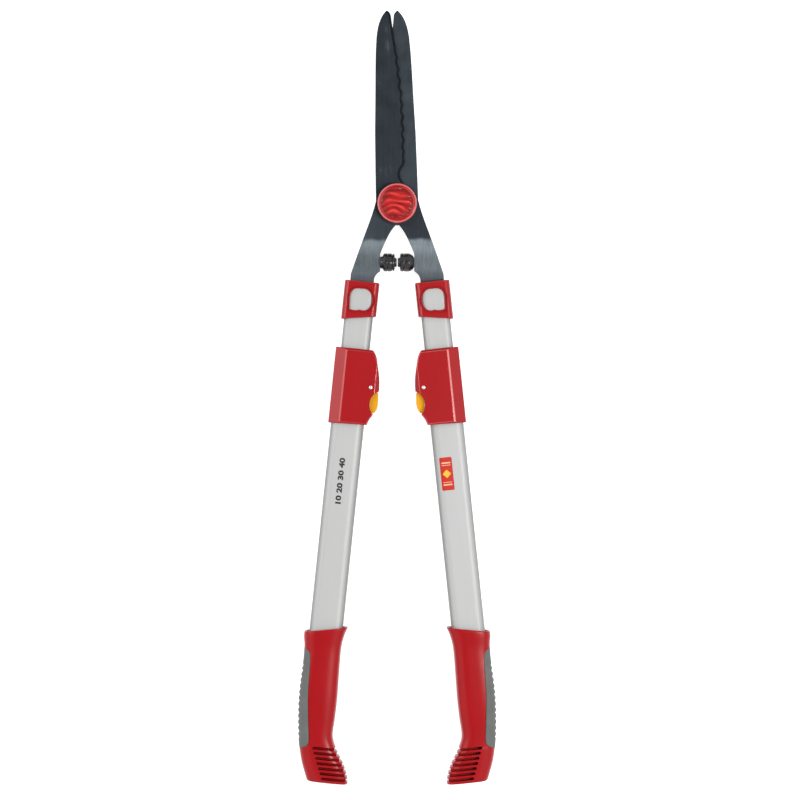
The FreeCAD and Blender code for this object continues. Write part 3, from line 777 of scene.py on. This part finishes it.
# ---------------------------------------------------------------- pivot and blades
@dataclass
class Pivot:
    """The blades with their bolt, washers and adjusting knob, about the pivot's axis."""

    blade_tilt: float = 1.5
    knob_points: int = 168
    points_per_rib: int = 4
    wave_length: float = 6.4     # of the waves across the knob's face
    swell: float = 1.7           # how far they snake
    bow: float = 0.025           # how much they curve
    ripple: float = 0.9          # how far a shorter bend shifts them
    rib_depth: float = 0.4
    flute_depth: float = 1.7
    socket_across: float = 4.6
    socket_floor: float = -4.6
    socket_mouth: float = -7.15
    centre: Vector = field(default_factory=lambda: Vector(joint("blade_pivot")["pos_m"]))

    @property
    def place(self) -> Matrix:
        """Takes millimetres about the pivot to the row frame."""
        return Matrix.Translation(self.centre) @ Matrix.Scale(MM, 4)

    def dress_nodes(self) -> None:
        """Finishes for the blades and the small parts of the pivot."""
        for name, tilt, shade in (("front_blade", self.blade_tilt, 0.68),
                                  ("rear_blade", -self.blade_tilt, 1.02)):
            dress([name], ForgedSteel(f"coated_steel_{name}", "blade_steel", shade,
                                      self.centre.y, math.radians(tilt)))
        dress(["blade_washer", "pivot_bush"], Palette.BRONZE)
        dress(["thrust_washer", "spring_washer"], Palette.PLATED)
        dress(["knob_insert"], Palette.BRASS)

    def knob_ring(self, radius: float, height: float) -> list[Vector]:
        """One ring of the knob with the side's ribs and the face's waves in it."""
        ribbed = ease(radius, 18.6, 19.4) * ease(height, 4.8, 5.8) * ease(height, 14.6, 13.4)
        fluted = ease(radius, 16.8, 14.6) * ease(height, 16.8, 18.2)

        def shape(angle: float) -> tuple[float, float]:
            """Ribs alter the radius, flutes the height."""
            rib = 0.5 + 0.5 * math.cos(angle * self.knob_points / self.points_per_rib)
            x, y = radius * math.cos(angle), radius * math.sin(angle)
            across = y + self.swell * math.sin((x + 2.0) / 4.6 + 0.1 * y) + self.bow * x * x
            across += self.ripple * math.sin(y / 2.6 - x / 6.0)
            swing = 0.74 + 0.26 * math.sin(x / 4.2 - y / 3.1)
            wave = 0.5 + 0.5 * swing * math.cos(math.tau * across / self.wave_length)
            return -self.rib_depth * ribbed * rib, -self.flute_depth * fluted * wave

        return turned_ring(radius, height, self.knob_points, shape)

    def make_knob(self) -> None:
        """A ribbed skirt, a narrow rim step and a low crown with waves across it."""
        profile = [(11.9, 7.2), (12.1, 4.7), (17.4, 4.5), (18.9, 4.5), (19.5, 4.9), (19.7, 5.6),
                   (19.7, 7.0), (19.7, 9.5), (19.7, 12.4), (19.7, 13.9), (19.5, 15.0), (19.0, 15.8),
                   (18.4, 16.2), (17.9, 16.3), (17.5, 16.4), (17.2, 16.8), (17.0, 17.4),
                   (16.7, 18.1), (16.3, 18.9), (15.8, 19.6), (15.2, 20.1), (14.5, 20.5), (13.7, 20.8),
                   (12.8, 21.0), (11.8, 21.2), (10.8, 21.3), (9.8, 21.4), (8.8, 21.45),
                   *((radius, 21.5) for radius in spaced(7.8, 0.8, 1.0))]
        skin = lofted(self.knob_ring(radius, height) for radius, height in profile)
        add_piece("adjusting_knob", skin, self.place, "knob", Palette.KNOB_RED, ["knob"], 40.0)

    def make_bolt(self) -> None:
        """The pivot bolt: a domed head with a hexagon socket, square neck and shank."""
        count = 72

        def hexagon(depth: float) -> list[Vector]:
            """A ring of the socket; its flats face the centre."""
            points = []
            for i in range(count):
                angle = math.tau * i / count
                flat = (angle + math.pi / 6) % (math.pi / 3) - math.pi / 6
                far = self.socket_across / 2 / math.cos(flat)
                points.append(Vector((far * math.cos(angle), far * math.sin(angle), depth)))
            return points

        outline = ((2.95, -7.35), (4.6, -7.3), (6.2, -7.0), (7.6, -6.45), (8.7, -5.8), (9.3, -5.2),
                   (9.5, -4.7), (9.5, -3.85), (3.9, -3.8), (3.9, 14.2), (3.4, 14.9))
        rings = [hexagon(self.socket_floor), hexagon(self.socket_mouth)]
        rings += [turned_ring(radius, height, count) for radius, height in outline]
        add_piece("pivot_bolt_socket_head", lofted(rings), self.place, "rear_lever", Palette.PLATED,
                  ["pivot_bolt"])

    def build(self) -> None:
        """Makes the whole sub-assembly."""
        self.dress_nodes()
        self.make_knob()
        self.make_bolt()


@dataclass
class Bumpers:
    """The two rubber stops between the tangs, spun about X."""

    below_pivot: float = 58.5
    steps: int = 96
    rounding: float = 0.45
    left: Profile = ((0.5, 0.0), (0.5, 3.7), (0.9, 4.5), (2.4, 4.9), (2.7, 8.3), (3.9, 8.7), (4.3, 8.7),
                     (4.5, 7.9), (5.1, 7.9), (5.4, 9.0), (8.9, 9.2), (9.3, 8.7), (9.8, 8.7), (10.2, 9.2),
                     (12.9, 9.0), (14.1, 7.7), (14.5, 6.4), (16.7, 5.8), (17.0, 5.0))
    right: Profile = ((0.5, 0.0), (0.5, 3.7), (0.9, 4.5), (2.7, 4.9), (2.9, 8.2), (3.8, 9.1), (6.1, 9.2),
                      (6.5, 8.8), (7.0, 8.8), (7.4, 9.2), (11.9, 9.1), (13.6, 8.3), (15.5, 7.0),
                      (16.8, 5.0), (17.0, 4.4))

    def build(self) -> None:
        """Spins each stop from its half outline."""
        centre = Vector(joint("blade_pivot")["pos_m"]) - Vector((0, self.below_pivot * MM, 0))
        for side, outline in ((Side.LEFT, self.left), (Side.RIGHT, self.right)):
            mesh = bmesh.new()
            points = [*outline, (outline[-1][0], 0.0)]
            verts = [mesh.verts.new((-side.hand * along, far, 0.0)) for along, far in points]
            edges = [mesh.edges.new(pair) for pair in zip(verts, verts[1:])]
            bmesh.ops.bevel(mesh, geom=verts[1:-1] + edges, offset=self.rounding, affect="VERTICES",
                            segments=3, profile=0.5, material=-1, clamp_overlap=True)
            bmesh.ops.spin(mesh, geom=mesh.verts[:] + mesh.edges[:], cent=(0, 0, 0), axis=(1, 0, 0),
                           angle=math.tau, steps=self.steps, use_merge=True)
            bmesh.ops.remove_doubles(mesh, verts=mesh.verts, dist=1e-4)
            place = Matrix.Translation(centre) @ Matrix.Scale(MM, 4)
            add_piece(side.node("rubber_stop"), mesh, place, side.upper, Palette.BUMPER,
                      [side.node("bumper")], 40.0)


# ---------------------------------------------------------------- tubes and housings
CREASE_GLOSS_AND_HIGHLIGHT = {Side.LEFT: 0.3, Side.RIGHT: 0.95}    # how glossy the lock housings' creases are and how strong their painted highlight is; stronger on the right


@dataclass
class TubeSet:
    """One handle's collar, its two telescoping tubes and what lies in them."""

    handle: Handle
    # how glossy the collar's creases are and how strong their painted highlight is
    collar_gloss_and_highlight: float = 0.13

    def build(self) -> None:
        """Finishes for the collar, the tubes, and the hidden fillers and bushes."""
        side, angle = self.handle.side, self.handle.angle
        for name, marks in (("inner_tube", 0.9), ("outer_tube", 0.45)):
            dress([side.node(name)], Anodised(f"anodised_{side.node(name)}", "anodised_tube",
                                              angle=angle, marks=marks))
        dress([side.node("collar")], self.red("collar", 0.3, self.collar_gloss_and_highlight))
        dress([side.node(n) for n in ("tang_socket", "glide", "guide_bush", "tube_plug")], Palette.BLACK)
        dress([side.node("tang_pin")], Palette.PLATED)

    def red(self, label: str = "plain", coat: float = 0.12, gloss_and_highlight: float | None = None) -> Moulded:
        """Red moulding whose flow lines follow this handle.

        Args:
            label: a word for its name.
            coat: how much gloss lies over it.
            gloss_and_highlight: how glossy its creases are and how strong their painted highlight is, if they
                have one.

        Returns:
            The finish.
        """
        base, side = Palette.RED, self.handle.side
        values = (f"{base.name}_{label}_{side.value}", base.slot, base.colour, self.handle.angle,
                  base.roughness, base.specular, coat)
        return Moulded(*values) if gloss_and_highlight is None else CreasedMoulding(*values, gloss_and_highlight=gloss_and_highlight)


@dataclass
class LockHousing:
    """One handle's latch: two half shells, screws, pin and the rocking lever."""

    handle: Handle
    red: Finish
    screw_spots: Profile = ((156.8, 20.0), (214.6, 18.8))
    screw_low: float = -13.0
    lever_half: float = 9.4
    rib_radius: float = 0.75
    rib_sink: float = 0.15
    rib_pitch: float = 2.4
    ribbed: tuple[float, float] = (189.2, 206.0)
    belly: Profile = ((186.0, 26.8), (192.0, 27.7), (199.0, 28.1), (204.6, 26.9), (207.9, 24.9))

    def dress_nodes(self) -> None:
        """Finishes for the latch's nodes."""
        side = self.handle.side
        dress([side.node("housing_front"), side.node("housing_rear")], self.red)
        dress([side.node("lock_lever")], Palette.YELLOW)
        dress([side.node(name) for name in ("lock_tooth", "lock_spring")], Palette.PLATED)

    def make_ribs(self) -> None:
        """Finger ribs across the lever's button."""
        size = (self.rib_radius * 1.5, self.rib_radius * 1.6, 2 * self.lever_half)
        ribs = [slab(size, (u, through(self.belly, u) - self.rib_sink, 0.0), self.rib_radius * 0.6)
                for u in spaced(*self.ribbed, self.rib_pitch)]
        side = self.handle.side
        add_piece(side.node("lever_finger_ribs"), joined(ribs), self.handle.place, side.node("lock"),
                  Palette.YELLOW)

    def make_pin(self) -> None:
        """The lever's pin: a domed head in front and a small riveted end behind."""
        outline = [(0.5, -15.6), (1.35, -15.5), (1.6, -15.2), (1.6, -14.9), (1.25, -14.8), (1.25, 15.9),
                   (1.85, 15.95), (1.95, 16.1), (1.8, 16.45), (1.4, 16.75), (0.8, 16.92)]
        pin = lofted(turned_ring(radius, height, 32) for radius, height in outline)
        bmesh.ops.translate(pin, vec=Vector((PIN_U, PIN_V, 0.0)), verts=pin.verts)
        side = self.handle.side
        add_piece(side.node("domed_lever_pin"), pin, self.handle.place, side.lower, Palette.PLATED,
                  [side.node("lever_pin")], 50.0)

    def make_screws(self) -> None:
        """Pan-head screws with a six-lobed socket, seen from behind."""
        count = 48

        def lobes(radius: float, height: float) -> list[Vector]:
            """A ring of the socket."""
            return turned_ring(radius, height, count, lambda angle: (0.13 * math.cos(6 * angle), 0.0))

        low = self.screw_low
        outline = ((1.2, 0.0), (1.6, 0.12), (1.85, 0.45), (1.9, 0.8), (1.9, 1.6), (1.1, 1.6), (1.1, 18.6),
                   (0.6, 19.0))
        rings = [lobes(0.9, low + 1.0), lobes(0.95, low + 0.05)]
        rings += [turned_ring(radius, low + height, count) for radius, height in outline]
        screws = []
        for u, v in self.screw_spots:
            screw = lofted(rings)
            bmesh.ops.translate(screw, vec=Vector((u, v, 0.0)), verts=screw.verts)
            screws.append(screw)
        side = self.handle.side
        add_piece(side.node("lobe_screws"), joined(screws), self.handle.place, side.lower, Palette.PLATED,
                  [side.node("housing_screws")])

    def build(self) -> None:
        """Makes the whole sub-assembly."""
        self.dress_nodes()
        self.make_ribs()
        self.make_pin()
        self.make_screws()


# ---------------------------------------------------------------- grip
@dataclass
class Grip:
    """A moulded grip with a flared mouth, a soft inlay and a slotted heel.

    A ring of the skin has its points spread evenly along the section, in two runs: one
    under the inlay and one over the rest, so that the inlay's border is a line of edges.
    """

    handle: Handle
    red: Finish
    outer: Profile = ((423, -22.0), (431, -21.7), (436.6, -21.4), (444.5, -20.1), (456.5, -19.4),
                      (470, -19.8), (484, -20.3), (500, -20.1), (514, -19.1), (528.7, -17.6),
                      (544.5, -15.0), (560.2, -11.1), (573, -6.2), (577, -4.6), (579.3, -3.6))
    inner: Profile = ((419, 23.4), (423, 21.7), (430.4, 19.0), (440.6, 17.2), (452, 16.9), (472.8, 17.5),
                      (496.8, 18.2), (516, 17.9), (530, 17.3), (537, 18.6), (548.5, 24.0), (559.8, 31.2),
                      (571.4, 36.0), (577.4, 37.2), (579.3, 37.3))
    depth: Profile = ((419, 16.0), (432, 15.6), (446, 15.0), (470, 15.4), (500, 15.9), (530, 15.4),
                      (560, 15.3), (573, 14.9), (579.3, 14.2))
    border: Profile = ((446.5, -19.0), (449.5, -15.2), (454, -12.8), (468, -11.8), (496, -10.4), (521, -7.4),
                       (540, -5.2), (544, -7.4), (546.3, -11.0), (547, -13.4))
    mouth: float = 427.0
    lean: float = -0.197         # the mouth's slant, fading out down the grip
    lean_end: float = 456.0
    end: float = 579.3
    end_round: float = 1.6
    squareness: float = 3.4
    rest_points: int = 72
    inlay_points: int = 44
    recess: float = 1.3
    slots: int = 7
    first_slot: float = 545.2
    pitch: float = 4.95
    slot_width: float = 2.9
    slot_start: float = -1.6     # the first slot's inner end, across the grip
    slot_drift: float = 11.4     # how much farther in the last slot's end lies
    web: float = 9.0
    notch: float = 1.8
    past: float = 60.0           # how far the cutting solids run past the surface
    bore_end: float = 519.0
    bore_gap: float = 0.05       # between the tube and its hole
    bore_square: float = 5.0     # exponent of the hole's rounded section
    ring_step: float = 1.6

    @property
    def inlay_from(self) -> float:
        """Where the inlay starts."""
        return self.border[0][0]

    @property
    def inlay_to(self) -> float:
        """Where the inlay ends."""
        return self.border[-1][0]

    def skin_point(self, u: float, angle: float, inset: float = 0.0) -> Vector:
        """A point of the grip's outer surface.

        Args:
            u: the section's nominal place along the grip.
            angle: the place on the section: 0 faces the other handle, a quarter turn up.
            inset: how far to step inwards from the surface.

        Returns:
            The point.
        """
        slant = self.lean * ease(u, self.lean_end, self.mouth)
        low, high = through(self.outer, u - slant * 20), through(self.inner, u + slant * 20)
        middle, half, deep = (low + high) / 2, (high - low) / 2, through(self.depth, u)
        power = 2 / self.squareness
        cos, sin = math.cos(angle), math.sin(angle)
        v = middle + half * math.copysign(abs(cos) ** power, cos)
        z = deep * math.copysign(abs(sin) ** power, sin)
        if inset:
            grow = self.squareness - 1
            facing = Vector((abs((v - middle) / half) ** grow / half, abs(z / deep) ** grow / deep))
            facing.normalize()
            v -= inset * math.copysign(facing.x, v - middle)
            z -= inset * math.copysign(facing.y, z)
        return Vector((u + slant * v, v, z))

    def spread(self, u: float, start: float, end: float, count: int) -> list[float]:
        """Angles from start to end whose points are evenly spaced along the section."""
        samples = 160
        angles = [start + (end - start) * i / samples for i in range(samples + 1)]
        points = [self.skin_point(u, angle) for angle in angles]
        travelled = [0.0]
        for a, b in zip(points, points[1:]):
            travelled.append(travelled[-1] + (b - a).length)
        found, k = [], 0
        for i in range(count):
            target = travelled[-1] * i / (count - 1)
            while k < samples - 1 and travelled[k + 1] < target:
                k += 1
            part = (target - travelled[k]) / max(travelled[k + 1] - travelled[k], 1e-9)
            found.append(angles[k] + (angles[k + 1] - angles[k]) * part)
        return found

    def border_angle(self, u: float) -> float:
        """The angle on the upper face at which the inlay's border runs."""
        low, high = through(self.outer, u), through(self.inner, u)
        across = (through(self.border, u) - (low + high) / 2) / ((high - low) / 2)
        across = max(min(across, 0.97), -0.985)
        return math.acos(math.copysign(abs(across) ** (self.squareness / 2), across))

    def grip_ring(self, u: float, inset: float = 0.0, recess: float = 0.0) -> list[Vector]:
        """A ring of the grip's skin, sunk by recess where the inlay lies."""
        edge = self.border_angle(u)
        step = 0.02
        rest = self.spread(u, -edge, edge, self.rest_points)
        under = self.spread(u, edge + step, math.tau - edge - step, self.inlay_points)
        return ([self.skin_point(u, angle, inset) for angle in rest]
                + [self.skin_point(u, angle, inset + recess) for angle in under])

    def bore_ring(self, u: float, gap: float) -> list[Vector]:
        """A ring of the hole for the tube, in step with the skin's rings."""
        slant = self.lean * ease(u, self.lean_end, self.mouth)
        points = []
        for outer in self.grip_ring(max(u, self.mouth)):
            v, z = outer.y, outer.z
            across, up = abs(v / (TUBE_HALF + gap)), abs(z / (TUBE_DEPTH + gap))
            reach = (across ** self.bore_square + up ** self.bore_square) ** (1 / self.bore_square)
            v, z = v / reach, z / reach
            points.append(Vector((u + slant * v, v, z)))
        return points

    def slot_tools(self) -> tuple[bmesh.types.BMesh, bmesh.types.BMesh]:
        """The solids cut from the heel: round-ended slots, then the notches between them."""
        tools, notches = [], []
        for i in range(self.slots):
            u = self.first_slot + i * self.pitch
            start = self.slot_start + self.slot_drift * i / (self.slots - 1)
            edge = through(self.inner, u) - self.notch
            for high in (20.0, -20.0):
                near = math.copysign(self.web / 2, high)
                half = self.slot_width / 2
                tool = bmesh.new()
                bmesh.ops.create_circle(tool, cap_ends=True, segments=20, radius=half)
                for vert in tool.verts:
                    vert.co.y += start + half if vert.co.y < 1e-4 else self.past
                bmesh.ops.translate(tool, vec=Vector((u, 0.0, near)), verts=tool.verts)
                made = bmesh.ops.extrude_face_region(tool, geom=tool.faces[:])["geom"]
                rising = [item for item in made if isinstance(item, bmesh.types.BMVert)]
                bmesh.ops.translate(tool, vec=Vector((0.0, 0.0, high - near)), verts=rising)
                tools.append(tool)
            notches.append(slab((self.slot_width - 0.1, self.past, self.web + 1.0),
                                (u, edge + self.past / 2, 0.0)))
        return joined(tools), joined(notches)

    def make_body(self) -> None:
        """The red moulding, from the bottom of its bore out over the lip to its heel."""
        deep = [self.bore_end, *spaced(505.0, 434.0, 12.0)]
        bore = [*((u, self.bore_gap) for u in deep), (430.2, 0.1), (429.2, 0.5), (428.6, 1.3)]
        lip = [(427.5, 1.9), (427.1, 1.3), (427.0, 0.8), (427.2, 0.35), (427.7, 0.1)]
        rings = [self.bore_ring(u, gap) for u, gap in bore]
        rings += [self.grip_ring(u, inset) for u, inset in lip]
        rings += [self.grip_ring(u) for u in spaced(428.4, self.inlay_from - 0.3, self.ring_step)]
        rings += [self.grip_ring(u, recess=self.recess)
                  for u in spaced(self.inlay_from, self.inlay_to, self.ring_step)]
        rings += [self.grip_ring(u) for u in spaced(self.inlay_to + 0.25, self.end - self.end_round, 1.5)]
        for angle in spaced(0.0, math.pi / 2, math.pi / 12)[1:]:
            rings.append(self.grip_ring(self.end - self.end_round * (1 - math.sin(angle)),
                                        self.end_round * (1 - math.cos(angle))))
        body = lofted(rings)
        for tools in self.slot_tools():
            body = carved(body, tools)
        side = self.handle.side
        add_piece(side.node("grip_body"), body, self.handle.place, side.lower, self.red,
                  [side.node("grip")], 30.0)

    def inlay_ring(self, u: float, sink: float) -> list[Vector]:
        """A ring of the inlay: its ridged outer face and its plain back."""
        edge = self.border_angle(u)
        step = 0.03
        angles = self.spread(u, edge + step, math.tau - edge - step, self.inlay_points)
        ridged = ease(u, 462.0, 467.0) * ease(u, 540.0, 535.0)
        groove = 0.5 + 0.5 * math.cos(math.tau * (u - 465.0) / 6.0)
        front = []
        for i, angle in enumerate(angles):
            border = min(i, len(angles) - 1 - i)
            rounding = (0.45, 0.12, 0.0)[min(border, 2)]
            outward = ease(-math.cos(angle), 0.55, 0.9)
            cut = 1.0 * ridged * outward * groove ** 1.5
            front.append(self.skin_point(u, angle, rounding + cut + sink - 0.12))
        back = [self.skin_point(u, angle, self.recess - 0.04) for angle in reversed(angles)]
        return front + back

    def make_inlay(self) -> None:
        """The grey inlay, flush in its recess and ridged across the palm side."""
        start, end = self.inlay_from + 0.1, self.inlay_to - 0.1
        rows = [(start, 0.5), (start + 0.25, 0.15), *((u, 0.0) for u in spaced(start + 0.6, end - 0.6, 0.75)),
                (end - 0.25, 0.15), (end, 0.5)]
        skin = lofted(self.inlay_ring(u, sink) for u, sink in rows)
        side = self.handle.side
        add_piece(side.node("grip_soft_inlay"), skin, self.handle.place, side.lower,
                  Palette.INLAY, [side.node("grip_inlay")], 50.0)

    def build(self) -> None:
        """Makes the grip's two mouldings."""
        self.make_body()
        self.make_inlay()


# ---------------------------------------------------------------- markings
def tube_face(v: float, lift: float) -> float:
    """The height of the outer tube's upper face at a distance v from its middle."""
    beyond = max(abs(v) - (TUBE_HALF - TUBE_ROUND), 0.0)
    return TUBE_DEPTH - TUBE_ROUND + math.sqrt(TUBE_ROUND ** 2 - beyond ** 2) + lift


@dataclass
class Markings:
    """A printed length scale on one tube and a plain label on the other."""

    left: Handle
    right: Handle
    scale_u: float = 279.0
    scale_length: float = 46.0
    scale_height: float = 5.6
    label_u: float = 270.5
    label_v: float = 5.2
    label_size: tuple[float, float] = (33.0, 12.4)
    label_cut: float = 0.8       # cut off the film's corners
    diamond: float = 4.2         # from its centre to its points
    bar_half: float = 4.4        # half a bar's length
    film: float = 0.06           # thickness of the label
    inked: float = 0.09          # height of what is printed on it

    def make_scale(self) -> None:
        """Numerals that read up the tube."""
        text = bpy.data.curves.new("scale_numerals", "FONT")
        text.body = "10 20 30 40"
        text.size, text.extrude, text.offset = 1.0, 0.004, 0.045
        text.align_x, text.align_y = "CENTER", "CENTER"
        holder = bpy.data.objects.new("scale_numerals", text)
        bpy.context.scene.collection.objects.link(holder)
        bpy.context.view_layer.update()
        flat = bpy.data.meshes.new_from_object(holder.evaluated_get(bpy.context.evaluated_depsgraph_get()))
        bpy.data.objects.remove(holder)
        mesh = bmesh.new()
        mesh.from_mesh(flat)
        bpy.data.meshes.remove(flat)
        long = max(vert.co.x for vert in mesh.verts) - min(vert.co.x for vert in mesh.verts)
        tall = max(vert.co.y for vert in mesh.verts) - min(vert.co.y for vert in mesh.verts)
        for vert in mesh.verts:
            x, y, z = vert.co
            u = self.scale_u - x * self.scale_length / long
            v = -1.0 - y * self.scale_height / tall
            vert.co = Vector((u, v, tube_face(v, 0.05 + z * 4)))
        side = self.left.side
        add_piece("printed_scale", mesh, self.left.place, side.lower, Palette.INK)

    def patch(self, name: str, outline: Profile, lift: float, finish: Finish) -> None:
        """A thin film that follows the right tube's face.

        Args:
            name: the piece's name.
            outline: its convex outline about the label's centre.
            lift: how high its top stands above the tube.
            finish: its finish.
        """
        mesh = bmesh.new()
        size = max(max(abs(a), abs(b)) for a, b in outline)
        bmesh.ops.create_grid(mesh, x_segments=48, y_segments=48, size=size)
        for (a0, b0), (a1, b1) in zip(outline, [*outline[1:], outline[0]]):
            outward = Vector((b1 - b0, a0 - a1, 0.0))
            everything = mesh.verts[:] + mesh.edges[:] + mesh.faces[:]
            bmesh.ops.bisect_plane(mesh, geom=everything, plane_co=(a0, b0, 0), plane_no=outward,
                                   clear_outer=True)
        made = bmesh.ops.extrude_face_region(mesh, geom=mesh.faces[:])["geom"]
        upper = {item for item in made if isinstance(item, bmesh.types.BMVert)}
        for vert in mesh.verts:
            u, v = self.label_u + vert.co.x, self.label_v + vert.co.y
            vert.co = Vector((u, v, tube_face(v, lift if vert in upper else -0.05)))
        side = self.right.side
        add_piece(name, mesh, self.right.place, side.lower, finish)

    def make_label(self) -> None:
        """A red film with a plain yellow diamond and pale bars."""
        long, wide = (part / 2 for part in self.label_size)
        cut, far, half = self.label_cut, self.diamond, self.bar_half
        rounded = [(-long, -wide + cut), (-long + cut, -wide), (long - cut, -wide), (long, -wide + cut),
                   (long, wide - cut), (long - cut, wide), (-long + cut, wide), (-long, wide - cut)]
        self.patch("label_film", rounded, self.film, Palette.LABEL)
        self.patch("label_diamond", [(-far, 0.0), (0.0, -far), (far, 0.0), (0.0, far)], self.inked,
                   Palette.LABEL_SUN)
        for name, top, low in (("label_bar_top", -11.6, -10.2), ("label_bar_bottom", 10.2, 11.6),
                               ("label_line_top", -8.8, -8.2), ("label_line_bottom", 8.2, 8.8)):
            self.patch(name, [(top, -half), (low, -half), (low, half), (top, half)], self.inked,
                       Palette.LABEL_PALE)

    def build(self) -> None:
        """Makes both markings."""
        self.make_scale()
        self.make_label()


# ---------------------------------------------------------------- studio
@dataclass
class Studio:
    """A pale floor, soft light and a camera straight above the shears."""

    camera_x: float = 2.8
    camera_y: float = -2.8
    distance: float = 3000.0
    lens: float = 135.0
    sky: float = 1.22
    hood: tuple[float, float] = (0.86, 0.975)    # heights between which the sky dims overhead
    hood_light: float = 0.2
    floor_drop: float = 0.0002   # keeps the floor clear of the faces that rest on it

    def lamp(self, name: str, at: Sequence[float], aim: Sequence[float], size: Sequence[float],
             power: float) -> None:
        """Adds a rectangular soft light.

        Args:
            name: its name.
            at: where it stands, in metres.
            aim: what it points at.
            size: its width and height.
            power: its power in watts.
        """
        light = bpy.data.lights.new(name, "AREA")
        light.shape, light.energy = "RECTANGLE", power
        light.size, light.size_y = size
        holder = bpy.data.objects.new(name, light)
        holder.location = at
        holder.rotation_euler = (Vector(aim) - Vector(at)).to_track_quat("-Z", "Y").to_euler()
        bpy.context.scene.collection.objects.link(holder)

    def build(self) -> None:
        """Makes floor, world, lights and camera."""
        scene = bpy.context.scene
        mesh = bmesh.new()
        bmesh.ops.create_grid(mesh, x_segments=8, y_segments=8, size=6.0)
        bmesh.ops.translate(mesh, vec=(0.0, 0.0, -self.floor_drop), verts=mesh.verts)
        floor = as_object("studio_floor", mesh)
        floor.data.materials.append(Palette.FLOOR.material())
        world = bpy.data.worlds.new("studio_sky")
        scene.world = world
        graph = Graph(world)
        height = graph.axis(Sock(graph, graph.coordinates.outputs["Generated"]), "Z")
        overhead = height.fade(*self.hood)
        strength = self.sky - overhead * (self.sky - self.hood_light)
        light = graph.node("ShaderNodeBackground", {}, {"Color": (1.0, 1.0, 1.0), "Strength": strength})
        graph.node("ShaderNodeOutputWorld", {}, {0: Sock(graph, light.outputs[0])})
        self.lamp("key_panel", (-1.9, 0.5, 1.7), (0, 0, 0), (1.4, 2.2), 24.0)
        self.lamp("crease_panel", (0.9, -0.12, 1.9), (0, -0.12, 0), (0.24, 1.05), 27.0)
        scene.view_settings.view_transform = "Standard"
        camera = bpy.data.objects.new("camera", bpy.data.cameras.new("camera"))
        camera.data.lens, camera.data.sensor_width = self.lens, 36.0
        camera.data.clip_end = 50.0
        camera.location = Vector((self.camera_x, self.camera_y, self.distance + MID_Z)) * MM
        scene.collection.objects.link(camera)
        scene.camera = camera
        log.info("studio ready")


def main() -> None:
    """Builds every sub-assembly in order."""
    logging.basicConfig(level=logging.INFO, format="%(name)s: %(message)s")
    Studio().build()
    Pivot().build()
    Bumpers().build()
    handles = [Handle.read(side) for side in Side]
    for handle in handles:
        tubes = TubeSet(handle)
        tubes.build()
        LockHousing(handle, tubes.red("housing", 0.3, CREASE_GLOSS_AND_HIGHLIGHT[handle.side])).build()
        Grip(handle, tubes.red()).build()
    Markings(*handles).build()


if __name__ == "__main__":
    main()
